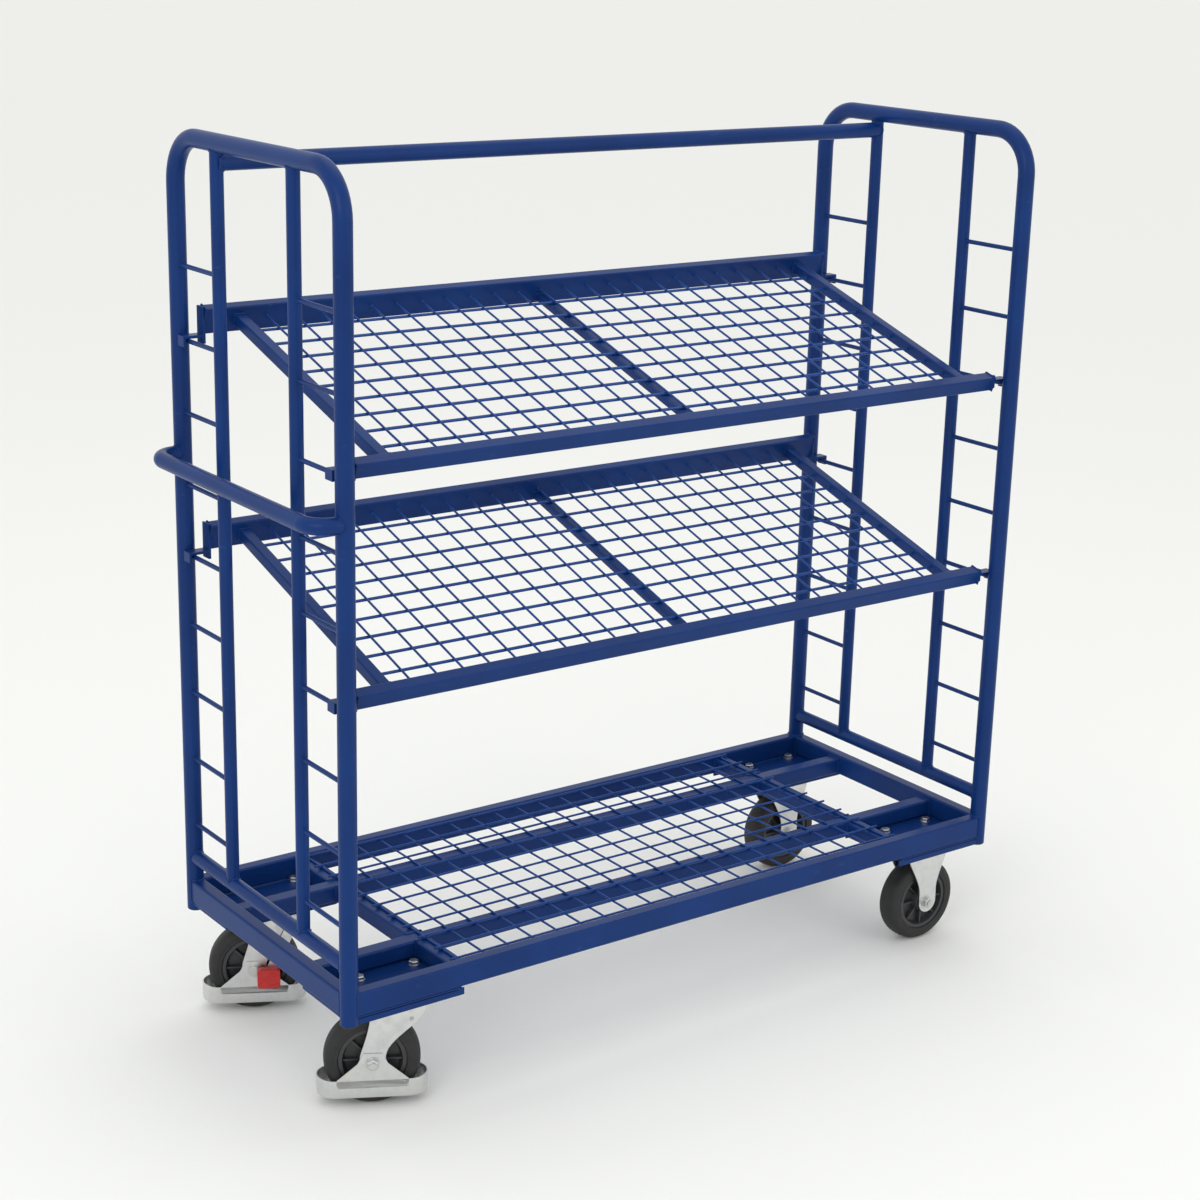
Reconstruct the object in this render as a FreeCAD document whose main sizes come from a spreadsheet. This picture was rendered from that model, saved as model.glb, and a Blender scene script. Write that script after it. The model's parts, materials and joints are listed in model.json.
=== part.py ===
import FreeCAD, Part

# Rolling picking trolley: two tubular end frames with ladder rungs, a welded base on four
# castors, a mesh deck, and two tilted mesh shelves that hook over the rungs.
# X runs along the trolley (the push handle is at -X), Y towards the back, Z up, floor at Z = 0.

import math
import os

import Sketcher

V = FreeCAD.Vector
doc = FreeCAD.newDocument("picking_trolley")

SIZES = (
    # frame
    ("frame_mid", 25.25, "X of the trolley's middle plane; the handle makes the box longer at -X"),
    ("end_span", 1380, "centre to centre of the two end frames"),
    ("post_span", 535, "centre to centre of the two posts of an end frame"),
    ("top_level", 1535, "centre line of the end frames' top bend"),
    ("post_foot", 197, "lower end of the posts"),
    ("post_dia", 30, "tube of the end frames"),
    ("hoop_bend", 75, "bend radius of the end frames' top corners"),
    ("tube_wall", 1.5, "wall of the round tubes"),
    ("upright_inset", 145, "from a post to the inner upright beside it"),
    ("upright_dia", 22, "tube of the inner uprights"),
    ("cross_level", 293.7, "centre of the lower cross tube of an end frame"),
    ("cross_dia", 25, "lower cross tube"),
    ("rung_dia", 8, "rod of the ladder rungs"),
    ("rung_first", 1328, "centre of the highest rung"),
    ("rung_pitch", 121.4, "from rung to rung"),
    ("top_rail_level", 1505, "centre of the long rail under the top bends"),
    ("top_rail_dia", 28, "long rail under the top bends"),
    ("handle_level", 1014, "centre of the push handle"),
    ("handle_reach", 52, "from the posts out to the handle's grip"),
    ("handle_bend", 36, "bend radius of the handle"),
    ("handle_dia", 27, "tube of the handle"),
    ("cap_lip", 3, "thickness of the plug's flange below a post"),
    ("cap_stem", 14, "length of the plug inside a post"),
    # base
    ("rail_low", 211, "underside of the base rails"),
    ("rail_high", 251, "top of the outer base rails"),
    ("rail_width", 25, "width of the outer base rails"),
    ("inner_rail_offset", 132.5, "from the middle to an inner base rail"),
    ("inner_rail_side", 30, "square tube of the inner rails and cross members"),
    ("cross_member_offset", 479, "from the middle to a cross member"),
    ("box_wall", 2, "wall of the square and flat tubes"),
    ("corner_length", 220, "castor corner plate along X"),
    ("corner_width", 153, "castor corner plate along Y"),
    ("corner_thick", 6, "castor corner plate"),
    ("corner_edge_x", 700, "outer edge of a corner plate along X"),
    ("corner_edge_y", 278, "outer edge of a corner plate along Y"),
    ("corner_flange", 9, "depth of the corner plate's turned-down edge"),
    ("flange_thick", 3, "sheet of the corner plate's turned-down edge"),
    # wire mesh
    ("wire_dia", 4, "mesh wire"),
    ("mesh_pitch", 50, "mesh, centre to centre of the wires"),
    ("deck_wire_reach", 490, "half length of the deck's long wires"),
    # tilted shelves
    ("shelf_half", 600, "from the middle to a shelf's side bar"),
    ("shelf_depth", 503, "between the centres of a shelf's front and back rail"),
    ("shelf_tilt", 17.2, "slope of a shelf, in degrees"),
    ("shelf_front_y", -240, "Y of a shelf's front rail"),
    ("shelf_over_rung", 5, "front rail centre above the rung it hangs on"),
    ("shelf_rail_reach", 662, "half length of a shelf's rails"),
    ("front_rail_side", 25, "square tube of a shelf's front rail"),
    ("rear_rail_tall", 45, "height of a shelf's back rail"),
    ("rear_rail_thick", 20, "thickness of a shelf's back rail"),
    ("side_bar_side", 20, "square tube of a shelf's side bars"),
    ("brace_tall", 12, "height of a shelf's middle bar"),
    ("hook_thick", 5, "flat steel of the hooks"),
    ("hook_gap", 0.3, "room between a hook and its rung"),
    ("hook_half", 11, "half width of a hook"),
    ("hook_foot", 6, "how far a hook's end plate reaches below the rung's centre"),
    ("hook_lip_gap", 3, "room between the rung and the hook's outer lip"),
    ("hook_lip_drop", 18, "how far a hook's lip reaches below its top bar"),
    # castors
    ("wheel_dia", 160, "castor wheel"),
    ("rim_dia", 112, "wheel body inside the tyre"),
    ("tyre_width", 45, "tyre"),
    ("hub_length", 50, "wheel hub"),
    ("hub_wall", 9, "wall of the hub round its bearing"),
    ("hub_flare", 2, "how much the hub widens towards the web"),
    ("web_half", 8, "half thickness of the wheel's web"),
    ("rim_wall", 7, "wall of the wheel's rim at its edge"),
    ("rim_inset", 3, "from the tyre's side in to the rim's side"),
    ("tyre_round", 9, "shoulder of the tyre's tread"),
    ("tyre_lip", 2, "edge of the tyre beside the rim"),
    ("bearing_rad", 11, "outside of the roller bearing"),
    ("sleeve_rad", 8, "spacer sleeve that the bearing runs on"),
    ("axle_rad", 6, "axle bolt"),
    ("axle_head_rad", 10, "head of the axle bolt"),
    ("axle_head_high", 4.5, "low head of the axle bolt, beside the brake pedal"),
    ("axle_nut_rad", 11, "corner radius of the axle nut"),
    ("axle_nut_high", 9, "axle nut"),
    ("axle_spare", 3, "thread that shows past the axle nut"),
    ("washer_rad", 12, "axle washers of the fixed castors"),
    ("run_gap", 0.05, "radial play of a running fit"),
    ("fork_inside", 54, "between the legs of a fork"),
    ("fork_plate", 3, "sheet of the forks and brackets"),
    ("crown_top", 189, "top of the swivelling fork"),
    ("crown_rad", 45, "round top of the swivelling fork"),
    ("crown_front", 42, "front of the fork's top, from the swivel axis"),
    ("crown_back", 48, "back of the fork's top, from the swivel axis"),
    ("shoulder_drop", 24, "height of the fork's square front shoulder"),
    ("back_drop", 30, "height of the fork's back shoulder"),
    ("back_swell", 8, "how far the fork's back leans out at its shoulder"),
    ("leg_half", 22, "half width of a fork leg at the axle"),
    ("leg_toe", 10, "half width of a leg's lower end"),
    ("leg_round", 10, "from the axle down to where a fork leg starts to narrow"),
    ("leg_rise", 14, "from the axle up to where the fork's back starts to slope"),
    ("leg_foot", 22, "from the axle down to a fork leg's lower end"),
    ("bracket_half", 52, "half width of a fixed bracket's top"),
    ("bracket_waist", 48, "half width of a fixed bracket below its shoulder"),
    ("bracket_drop", 26, "height of a fixed bracket's shoulder"),
    ("bracket_leg", 21, "half width of a bracket leg at the axle"),
    ("bracket_round", 8, "from the axle down to where a bracket leg starts to narrow"),
    ("bracket_foot", 20, "from the axle down to a bracket leg's lower end"),
    ("race_low", 196, "underside of the upper ball race"),
    ("race_half", 8, "half width of the ball race"),
    ("plate_low", 200, "underside of the castors' top plates"),
    ("plate_high", 205, "top of the castors' top plates"),
    ("plate_length", 135, "castor top plate along X"),
    ("plate_width", 110, "castor top plate along Y"),
    ("bolt_span_x", 105, "castor bolts along X"),
    ("bolt_span_y", 80, "castor bolts along Y"),
    ("bolt_rad", 5, "castor bolt shank"),
    ("bolt_hole_rad", 5.5, "castor bolt hole"),
    ("bolt_foot", 188, "lower end of the castor bolts"),
    ("hex_rad", 9.2, "corner radius of the bolt heads and nuts"),
    ("head_high", 6.4, "bolt head"),
    ("nut_high", 8, "nut"),
    ("kingpin_rad", 6, "swivel pin"),
    ("kingpin_head", 11, "radius of the swivel pin's head"),
    ("kingpin_drop", 11, "from the fork's top down to the swivel pin's lower end"),
    ("kingpin_gap", 0.3, "room between the swivel pin's head and the fork"),
    ("ball_rad", 3.35, "swivel bearing ball"),
    ("ball_circle", 30, "radius of the ring of balls"),
    ("ball_count", 18, "balls in a swivel bearing"),
    ("swivel_x", -560, "swivel axis of the handle-end castors"),
    ("fixed_x", 600, "axle of the far-end castors"),
    ("castor_y", 205, "from the middle to a castor"),
    ("trail", 45, "from a swivel axis back to its axle"),
    ("swivel_rest", -28, "angle at which the swivel castors stand, in degrees"),
    # foot guard and brake of the swivel castors
    ("guard_low", 18, "lower edge of the foot guard"),
    ("guard_high", 50, "upper edge of the foot guard's band"),
    ("guard_thick", 2, "sheet of the foot guard"),
    ("guard_end", 60, "from the axle to the centre of the band's round ends"),
    ("guard_lap", 14, "overlap of the guard's side plates and its band"),
    ("cheek_half", 24, "half width of a guard's side plate beside the axle"),
    ("cheek_top_half", 14, "half width of a guard's side plate at its top"),
    ("cheek_rise", 18, "from the axle up to the top of a guard's side plate"),
    ("cheek_start", 2, "from the axle up to where a side plate starts to narrow"),
    ("brake_x", 18, "brake shaft, from the swivel axis"),
    ("brake_z", 158, "height of the brake shaft"),
    ("brake_rad", 5, "brake shaft"),
    ("cam_reach", 19, "brake cam, from the shaft to its tip"),
    ("cam_thick", 8, "brake cam"),
    ("cam_half", 17, "half length of the brake cam along its shaft"),
    ("cam_lean", 58.92, "brake cam at rest, in degrees back from straight down"),
    ("arm_lean", 23.69, "brake arm at rest, in degrees back from straight down"),
    ("arm_gap", 1, "room between the guard and the brake arm"),
    ("arm_wide", 18, "width of the brake arm"),
    ("boss_rad", 10, "brake arm's boss on its shaft"),
    ("arm_thick", 4, "flat steel of the brake arm"),
    ("arm_length", 112, "brake arm, from the shaft to its lower end"),
    ("pedal_wide", 40, "brake pedal, along the castor"),
    ("pedal_tall", 36, "brake pedal, height"),
    ("pedal_thick", 16, "brake pedal, across the castor"),
    ("pedal_round", 7, "corner radius of the brake pedal"),
)

sheet = doc.addObject("Spreadsheet::Sheet", "sizes")
for row, (alias, number, meaning) in enumerate(SIZES, start=1):
    sheet.set(f"A{row}", meaning)
    sheet.set(f"B{row}", str(number))
    sheet.setAlias(f"B{row}", alias)
doc.recompute()


class Dim:
    """A size that carries its value and the spreadsheet formula it comes from."""

    def __init__(self, number, formula=None):
        self.number = float(number)
        self.formula = formula or repr(float(number))

    def join(self, other, sign, number):
        return Dim(number, f"({self.formula} {sign} {dim(other).formula})")

    def __add__(self, other):
        return self.join(other, "+", self.number + dim(other).number)

    def __sub__(self, other):
        return self.join(other, "-", self.number - dim(other).number)

    def __mul__(self, other):
        return self.join(other, "*", self.number * dim(other).number)

    def __truediv__(self, other):
        return self.join(other, "/", self.number / dim(other).number)

    def __neg__(self):
        return self * -1

    def __radd__(self, other):
        return dim(other) + self

    def __rsub__(self, other):
        return dim(other) - self

    def __rmul__(self, other):
        return dim(other) * self

    def __rtruediv__(self, other):
        return dim(other) / self


def dim(thing):
    return thing if isinstance(thing, Dim) else Dim(thing)


class Sizes:
    """Gives each alias of the sheet as a Dim."""

    def __getattr__(self, alias):
        return Dim(sheet.get(alias), f"sizes.{alias}")


S = Sizes()


def cos(angle):
    return Dim(math.cos(math.radians(angle.number)), f"cos({angle.formula})")


def sin(angle):
    return Dim(math.sin(math.radians(angle.number)), f"sin({angle.formula})")


class Turn:
    """A rotation about one axis by an angle of the sheet; the axis is set for a positive angle."""

    def __init__(self, x, y, z, angle):
        backwards = angle.number < 0
        self.axis = V(x, y, z) * (-1 if backwards else 1)
        self.angle = -angle if backwards else angle

    def rotation(self):
        return FreeCAD.Rotation(self.axis, self.angle.number)


# Building blocks ------------------------------------------------------------------------------

def bind(thing, field, size):
    """Tie one property to its formula in the sheet."""
    thing.setExpression(field, dim(size).formula)


def put(thing, at, rotation=None):
    """Give an object its place, with each coordinate and any sloping angle tied to the sheet."""
    spot = [dim(value) for value in at]
    corner = V(*(value.number for value in spot))
    tied = isinstance(rotation, Turn)
    turn = rotation.rotation() if tied else rotation or FreeCAD.Rotation()
    thing.Placement = FreeCAD.Placement(corner, turn)
    for letter, value in zip("xyz", spot):
        bind(thing, f"Placement.Base.{letter}", value)
    if tied:
        bind(thing, "Placement.Rotation.Angle", rotation.angle)
    return thing


ALONG = {
    "x": FreeCAD.Rotation(V(0, 1, 0), 90),
    "y": FreeCAD.Rotation(V(1, 0, 0), -90),
    "z": FreeCAD.Rotation(),
}


def low_high(pair):
    return sorted((dim(end) for end in pair), key=lambda end: end.number)


def rod(radius, axis, ends, at):
    """A solid round bar along an axis; at holds its other two coordinates in X, Y, Z order."""
    low, high = low_high(ends)
    bar = doc.addObject("Part::Cylinder", "rod")
    bind(bar, "Radius", radius)
    bind(bar, "Height", high - low)
    spot = list(at)
    spot.insert("xyz".index(axis), low)
    return put(bar, spot, ALONG[axis])


def block(x_ends, y_ends, z_ends):
    """A rectangular block between two planes on each axis."""
    spans = [low_high(ends) for ends in (x_ends, y_ends, z_ends)]
    brick = doc.addObject("Part::Box", "block")
    for field, (low, high) in zip(("Length", "Width", "Height"), spans):
        bind(brick, field, high - low)
    return put(brick, [low for low, high in spans])


def group(pieces):
    """Separate solids that share one node."""
    bunch = doc.addObject("Part::Compound", "group")
    bunch.Links = list(pieces)
    return bunch


def fuse(pieces):
    whole = doc.addObject("Part::MultiFuse", "fuse")
    whole.Shapes = list(pieces)
    return whole


def cut(base, tools):
    """The base with every tool taken away from it."""
    result = doc.addObject("Part::Cut", "cut")
    result.Base = base
    result.Tool = tools[0] if len(tools) == 1 else group(tools)
    return result


def tube(radius, axis, ends, at, wall=S.tube_wall):
    return cut(rod(radius, axis, ends, at), [rod(radius - wall, axis, ends, at)])


def box_tube(axis, x_ends, y_ends, z_ends):
    """A rectangular tube, open at the ends of its own axis."""
    outer = [low_high(ends) for ends in (x_ends, y_ends, z_ends)]
    inner = [(low + S.box_wall, high - S.box_wall) for low, high in outer]
    inner["xyz".index(axis)] = outer["xyz".index(axis)]
    return cut(block(*outer), [block(*inner)])


def hexagon(radius, z_low, height, at):
    """A hexagon prism, such as a bolt head or a nut."""
    prism = doc.addObject("Part::Prism", "hexagon")
    prism.Polygon = 6
    bind(prism, "Circumradius", radius)
    bind(prism, "Height", height)
    return put(prism, (at[0], at[1], z_low))


NODES = {}


def node(label, thing, at=(0, 0, 0), rotation=None):
    """Name a finished sub-part and place it in the trolley's frame."""
    x, y, z = at
    put(thing, (S.frame_mid + x, y, z), rotation)
    thing.Label = label
    NODES[label] = thing
    return thing


# Sketched bodies ------------------------------------------------------------------------------

def new_body(name):
    return doc.addObject("PartDesign::Body", name)


def new_sketch(body, role, offset=0):
    """A sketch on one of the body's own origin planes, moved along the plane's normal."""
    face = next(plane for plane in body.Origin.OriginFeatures if plane.Role == role)
    sketch = body.newObject("Sketcher::SketchObject", "sketch")
    sketch.AttachmentSupport = [(face, "")]
    sketch.MapMode = "FlatFace"
    sketch.AttachmentOffset = FreeCAD.Placement(V(0, 0, dim(offset).number), FreeCAD.Rotation())
    bind(sketch, "AttachmentOffset.Base.z", offset)
    return sketch


def hold(sketch, kind, corner, size):
    """A driving distance from the sketch's origin to a corner, tied to the sheet."""
    geometry, end = corner
    size = dim(size)
    if abs(size.number) < 1e-9:
        axis = -2 if kind == "DistanceX" else -1
        sketch.addConstraint(Sketcher.Constraint("PointOnObject", geometry, end, axis))
        return
    rule = sketch.addConstraint(Sketcher.Constraint(kind, -1, 1, geometry, end, size.number))
    bind(sketch, f"Constraints[{rule}]", size)


def polygon(sketch, corners):
    """A closed outline of straight edges whose corners are all tied to the sheet."""
    spots = [(dim(x), dim(y)) for x, y in corners]
    points = [V(x.number, y.number, 0) for x, y in spots]
    edges = []
    for start, end in zip(points, points[1:] + points[:1]):
        edges.append(sketch.addGeometry(Part.LineSegment(start, end), False))
    for edge, following in zip(edges, edges[1:] + edges[:1]):
        sketch.addConstraint(Sketcher.Constraint("Coincident", edge, 2, following, 1))
    for edge, (x, y) in zip(edges, spots):
        hold(sketch, "DistanceX", (edge, 1), x)
        hold(sketch, "DistanceY", (edge, 1), y)
    return sketch


def circle(sketch, radius, at=(0, 0)):
    x, y = (dim(value) for value in at)
    radius = dim(radius)
    ring = sketch.addGeometry(
        Part.Circle(V(x.number, y.number, 0), V(0, 0, 1), radius.number), False)
    rule = sketch.addConstraint(Sketcher.Constraint("Radius", ring, radius.number))
    bind(sketch, f"Constraints[{rule}]", radius)
    hold(sketch, "DistanceX", (ring, 3), x)
    hold(sketch, "DistanceY", (ring, 3), y)
    return sketch


def extrude(body, kind, sketch, length):
    """Pad or pocket along the sketch's normal; a pocket is turned to cut the same way."""
    feature = body.newObject(f"PartDesign::{kind}", kind.lower())
    feature.Profile = sketch
    bind(feature, "Length", length)
    feature.Reversed = kind == "Pocket"
    return feature


def revolve(body, sketch):
    """A full turn about the sketch's upright axis."""
    feature = body.newObject("PartDesign::Revolution", "revolution")
    feature.Profile = sketch
    feature.ReferenceAxis = (sketch, ["V_Axis"])
    feature.Angle = 360
    return feature


def round_edges(body, radius, spots):
    """Fillet the edges that pass through the given points."""
    doc.recompute()
    base = body.Tip
    edges = []
    for number, edge in enumerate(base.Shape.Edges, start=1):
        if any(edge.distToShape(Part.Vertex(V(*spot)))[0] < 0.01 for spot in spots):
            edges.append(f"Edge{number}")
    feature = body.newObject("PartDesign::Fillet", "fillet")
    feature.Base = (base, edges)
    bind(feature, "Radius", radius)
    return feature


def step_towards(start, goal, distance):
    """A point at a distance from start towards goal, along a line parallel to an axis."""
    point = []
    for here, there in zip(start, goal):
        gap = there.number - here.number
        point.append(here + distance * math.copysign(1, gap) if abs(gap) > 1e-9 else here)
    return tuple(point)


def bent_line(sketch, corners, bend):
    """Straight runs parallel to the axes, joined by tangent arcs of one bend radius."""
    corners = [tuple(dim(value) for value in corner) for corner in corners]
    starts = [corners[0]]
    stops = []
    for before, corner, after in zip(corners, corners[1:], corners[2:]):
        stops.append(step_towards(corner, before, bend))
        starts.append(step_towards(corner, after, bend))
    stops.append(corners[-1])

    def point(spot):
        return V(spot[0].number, spot[1].number, 0)

    runs = []
    for start, stop in zip(starts, stops):
        run = sketch.addGeometry(Part.LineSegment(point(start), point(stop)), False)
        runs.append(run)
        for end, spot in ((1, start), (2, stop)):
            hold(sketch, "DistanceX", (run, end), spot[0])
            hold(sketch, "DistanceY", (run, end), spot[1])
    for number, corner in enumerate(corners[1:-1]):
        start, stop = point(stops[number]), point(starts[number + 1])
        centre = start + stop - point(corner)
        middle = centre + (point(corner) - centre).normalize() * bend.number
        turn = sketch.addGeometry(Part.Arc(start, middle, stop), False)
        for run, end in ((runs[number], 2), (runs[number + 1], 1)):
            meeting = sketch.getPoint(run, end)
            near = min((1, 2), key=lambda tip: sketch.getPoint(turn, tip).distanceToPoint(meeting))
            sketch.addConstraint(Sketcher.Constraint("Coincident", turn, near, run, end))
        rule = sketch.addConstraint(Sketcher.Constraint("Radius", turn, bend.number))
        bind(sketch, f"Constraints[{rule}]", bend)


def bent_tube(name, path_plane, corners, bend, section_plane, section_at, radius):
    """A bent tube: an annulus swept along straight runs and tangent arcs."""
    body = new_body(name)
    path = new_sketch(body, path_plane)
    bent_line(path, corners, bend)
    section = new_sketch(body, section_plane, section_at[2])
    circle(section, radius, section_at[:2])
    circle(section, radius - S.tube_wall, section_at[:2])
    sweep = body.newObject("PartDesign::AdditivePipe", "sweep")
    sweep.Profile = section
    sweep.Spine = (path, [])
    return body


# End frames -----------------------------------------------------------------------------------

SIDES = (("left", -1), ("right", 1))
half_span = S.end_span / 2
half_posts = S.post_span / 2
post_rad = S.post_dia / 2
upright_rad = S.upright_dia / 2
upright_y = half_posts - S.upright_inset


def post_cutters(radius=post_rad):
    """Solid rods where the four posts stand, to cope the tubes that meet them."""
    return [
        rod(radius, "z", (S.post_foot - 10, S.top_level), (half_span * sx, half_posts * sy))
        for sx in (-1, 1) for sy in (-1, 1)
    ]


for name, sx in SIDES:
    plane_x = half_span * sx
    corners = (
        (-half_posts, S.post_foot), (-half_posts, S.top_level),
        (half_posts, S.top_level), (half_posts, S.post_foot),
    )
    hoop = bent_tube(f"{name}_hoop", "YZ_Plane", corners, S.hoop_bend,
                     "XY_Plane", (0, -half_posts, S.post_foot), post_rad)
    node(f"{name}_end_hoop", hoop, (plane_x, 0, 0))

    top_tube = rod(post_rad, "y", (-half_posts, half_posts), (plane_x, S.top_level))
    low_tube = rod(S.cross_dia / 2, "y", (-half_posts, half_posts), (plane_x, S.cross_level))
    uprights = [
        tube(upright_rad, "z", (S.cross_level, S.top_level), (plane_x, upright_y * sy))
        for sy in (-1, 1)
    ]
    node(f"{name}_inner_uprights", cut(group(uprights), [top_tube, low_tube]))

    rungs = []
    for step in range(9):
        level = S.rung_first - S.rung_pitch * step
        for sy in (-1, 1):
            ends = ((upright_y + upright_rad) * sy, (half_posts - post_rad) * sy)
            rungs.append(rod(S.rung_dia / 2, "y", ends, (plane_x, level)))
    node(f"{name}_ladder_rungs", group(rungs))

    cross = tube(S.cross_dia / 2, "y", (-half_posts, half_posts), (plane_x, S.cross_level))
    node(f"{name}_cross_tube", cut(cross, post_cutters()))

upright_cutters = [
    rod(upright_rad, "z", (S.cross_level, S.top_level), (half_span * sx, upright_y))
    for sx in (-1, 1)
]
long_rail = tube(S.top_rail_dia / 2, "x", (-half_span, half_span), (upright_y, S.top_rail_level))
node("top_rail", cut(long_rail, upright_cutters))


grip_x = -half_span - S.handle_reach
bend_x = grip_x + S.handle_bend
bend_y = half_posts - S.handle_bend


def handle_bar(radius):
    """The handle's bow as one solid bar: grip, two quarter bends and two short legs."""
    pieces = [rod(radius, "y", (-bend_y, bend_y), (grip_x, 0))]
    for sy, start in ((-1, 180), (1, 90)):
        pieces.append(rod(radius, "x", (bend_x, -half_span), (half_posts * sy, 0)))
        turn = doc.addObject("Part::Torus", "bend")
        bind(turn, "Radius1", S.handle_bend)
        bind(turn, "Radius2", radius)
        turn.Angle3 = 90
        quarter = FreeCAD.Rotation(V(0, 0, 1), start)
        pieces.append(put(turn, (bend_x, bend_y * sy, 0), quarter))
    return fuse(pieces)


handle_rad = S.handle_dia / 2
handle_cutters = [
    rod(post_rad, "z", (-60, 60), (-half_span, half_posts * sy)) for sy in (-1, 1)
]
handle = cut(handle_bar(handle_rad), [handle_bar(handle_rad - S.tube_wall), *handle_cutters])
node("push_handle", handle, (0, 0, S.handle_level))

plug_rad = post_rad - S.tube_wall
plugs = []
for sx in (-1, 1):
    for sy in (-1, 1):
        at = (half_span * sx, half_posts * sy)
        lip = rod(post_rad, "z", (S.post_foot - S.cap_lip, S.post_foot), at)
        stem = rod(plug_rad, "z", (S.post_foot, S.post_foot + S.cap_stem), at)
        plugs.append(fuse([lip, stem]))
node("post_end_caps", group(plugs))

# Base -----------------------------------------------------------------------------------------

half_rail = S.rail_width / 2
rail_levels = (S.rail_low, S.rail_high)
inner_high = S.rail_high - S.wire_dia * 2
inner_levels = (inner_high - S.inner_rail_side, inner_high)
half_inner = S.inner_rail_side / 2
rail_inside_x = half_span - half_rail
rail_inside_y = half_posts - half_rail

for name, sy in (("front", -1), ("rear", 1)):
    middle = half_posts * sy
    rail = box_tube("x", (-half_span, half_span), (middle - half_rail, middle + half_rail),
                    rail_levels)
    node(f"{name}_side_rail", cut(rail, post_cutters()))

for name, sx in SIDES:
    middle = half_span * sx
    rail = box_tube("y", (middle - half_rail, middle + half_rail),
                    (-rail_inside_y, rail_inside_y), rail_levels)
    node(f"{name}_end_rail", cut(rail, post_cutters()))

inner_rails = []
for sy in (-1, 1):
    middle = S.inner_rail_offset * sy
    inner_rails.append(box_tube("x", (-rail_inside_x, rail_inside_x),
                                (middle - half_inner, middle + half_inner), inner_levels))
node("inner_rails", group(inner_rails))

member_spans = (
    (-rail_inside_y, -S.inner_rail_offset - half_inner),
    (-S.inner_rail_offset + half_inner, S.inner_rail_offset - half_inner),
    (S.inner_rail_offset + half_inner, rail_inside_y),
)
members = []
for sx in (-1, 1):
    middle = S.cross_member_offset * sx
    for span in member_spans:
        members.append(box_tube("y", (middle - half_inner, middle + half_inner), span,
                                inner_levels))
node("cross_members", group(members))


def mesh_lines(count):
    """Offsets of evenly pitched wires, centred on the middle."""
    return [S.mesh_pitch * (number - (count - 1) / 2) for number in range(count)]


wire_rad = S.wire_dia / 2
cross_wires = [
    rod(wire_rad, "y", (-rail_inside_y, rail_inside_y), (x, inner_high + wire_rad))
    for x in mesh_lines(20)
]
long_wires = [
    rod(wire_rad, "x", (-S.deck_wire_reach, S.deck_wire_reach), (y, inner_high + wire_rad * 3))
    for y in mesh_lines(11)
]
node("deck_mesh", group(cross_wires + long_wires))

CASTORS = (
    ("front_left", -1, -1), ("rear_left", -1, 1), ("front_right", 1, -1), ("rear_right", 1, 1),
)


def castor_middle(sx, sy):
    """Where a castor's top plate is centred."""
    return (S.swivel_x if sx < 0 else S.fixed_x, S.castor_y * sy)


def bolt_spots(sx, sy):
    x, y = castor_middle(sx, sy)
    return [
        (x + S.bolt_span_x / 2 * i, y + S.bolt_span_y / 2 * j) for i in (-1, 1) for j in (-1, 1)
    ]


def corner_plate(sx, sy):
    """A welded plate with a turned-down outer edge, notched round the post."""
    inner_x = S.corner_edge_x - S.corner_length
    inner_y = S.corner_edge_y - S.corner_width
    plate_levels = (S.plate_high, S.plate_high + S.corner_thick)
    plate = block((inner_x * sx, S.corner_edge_x * sx), (inner_y * sy, S.corner_edge_y * sy),
                  plate_levels)
    edge = block((inner_x * sx, S.corner_edge_x * sx),
                 ((S.corner_edge_y - S.flange_thick) * sy, S.corner_edge_y * sy),
                 (S.plate_high - S.corner_flange, S.plate_high))
    holes = [
        rod(S.bolt_hole_rad, "z", (S.plate_low, S.rail_high), spot)
        for spot in bolt_spots(sx, sy)
    ]
    post = rod(post_rad, "z", (S.post_foot - 10, S.rail_high), (half_span * sx, half_posts * sy))
    return cut(fuse([plate, edge]), holes + [post])


for name, sx in SIDES:
    node(f"{name}_corner_plates", group([corner_plate(sx, sy) for sy in (-1, 1)]))

bolts = []
nuts = []
for name, sx, sy in CASTORS:
    for spot in bolt_spots(sx, sy):
        head = hexagon(S.hex_rad, S.rail_low, S.head_high, spot)
        shank = rod(S.bolt_rad, "z", (S.bolt_foot, S.rail_low), spot)
        bolts.append(fuse([head, shank]))
        nut = hexagon(S.hex_rad, S.plate_low - S.nut_high, S.nut_high, spot)
        bore = rod(S.bolt_rad, "z", (S.plate_low - S.nut_high, S.plate_low), spot)
        nuts.append(cut(nut, [bore]))
node("castor_bolts", group(bolts))
node("castor_nuts", group(nuts))

# Castors --------------------------------------------------------------------------------------
# Each castor is drawn about its own middle plane: X = 0 at the swivel axis or over a fixed
# axle, Y = 0 in the middle of the wheel, Z = 0 on the floor.

SWIVEL = [castor for castor in CASTORS if castor[1] < 0]
FIXED = [castor for castor in CASTORS if castor[1] > 0]
axle_level = S.wheel_dia / 2
leg_out = S.fork_inside / 2 + S.fork_plate
turned = Turn(0, 0, 1, S.swivel_rest)


def castor_node(label, thing, sx, sy):
    """Place a castor's sub-part; swivel castors stand turned about their own axis."""
    x, y = castor_middle(sx, sy)
    node(label, thing, (x, y, 0), turned if sx < 0 else None)


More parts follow.
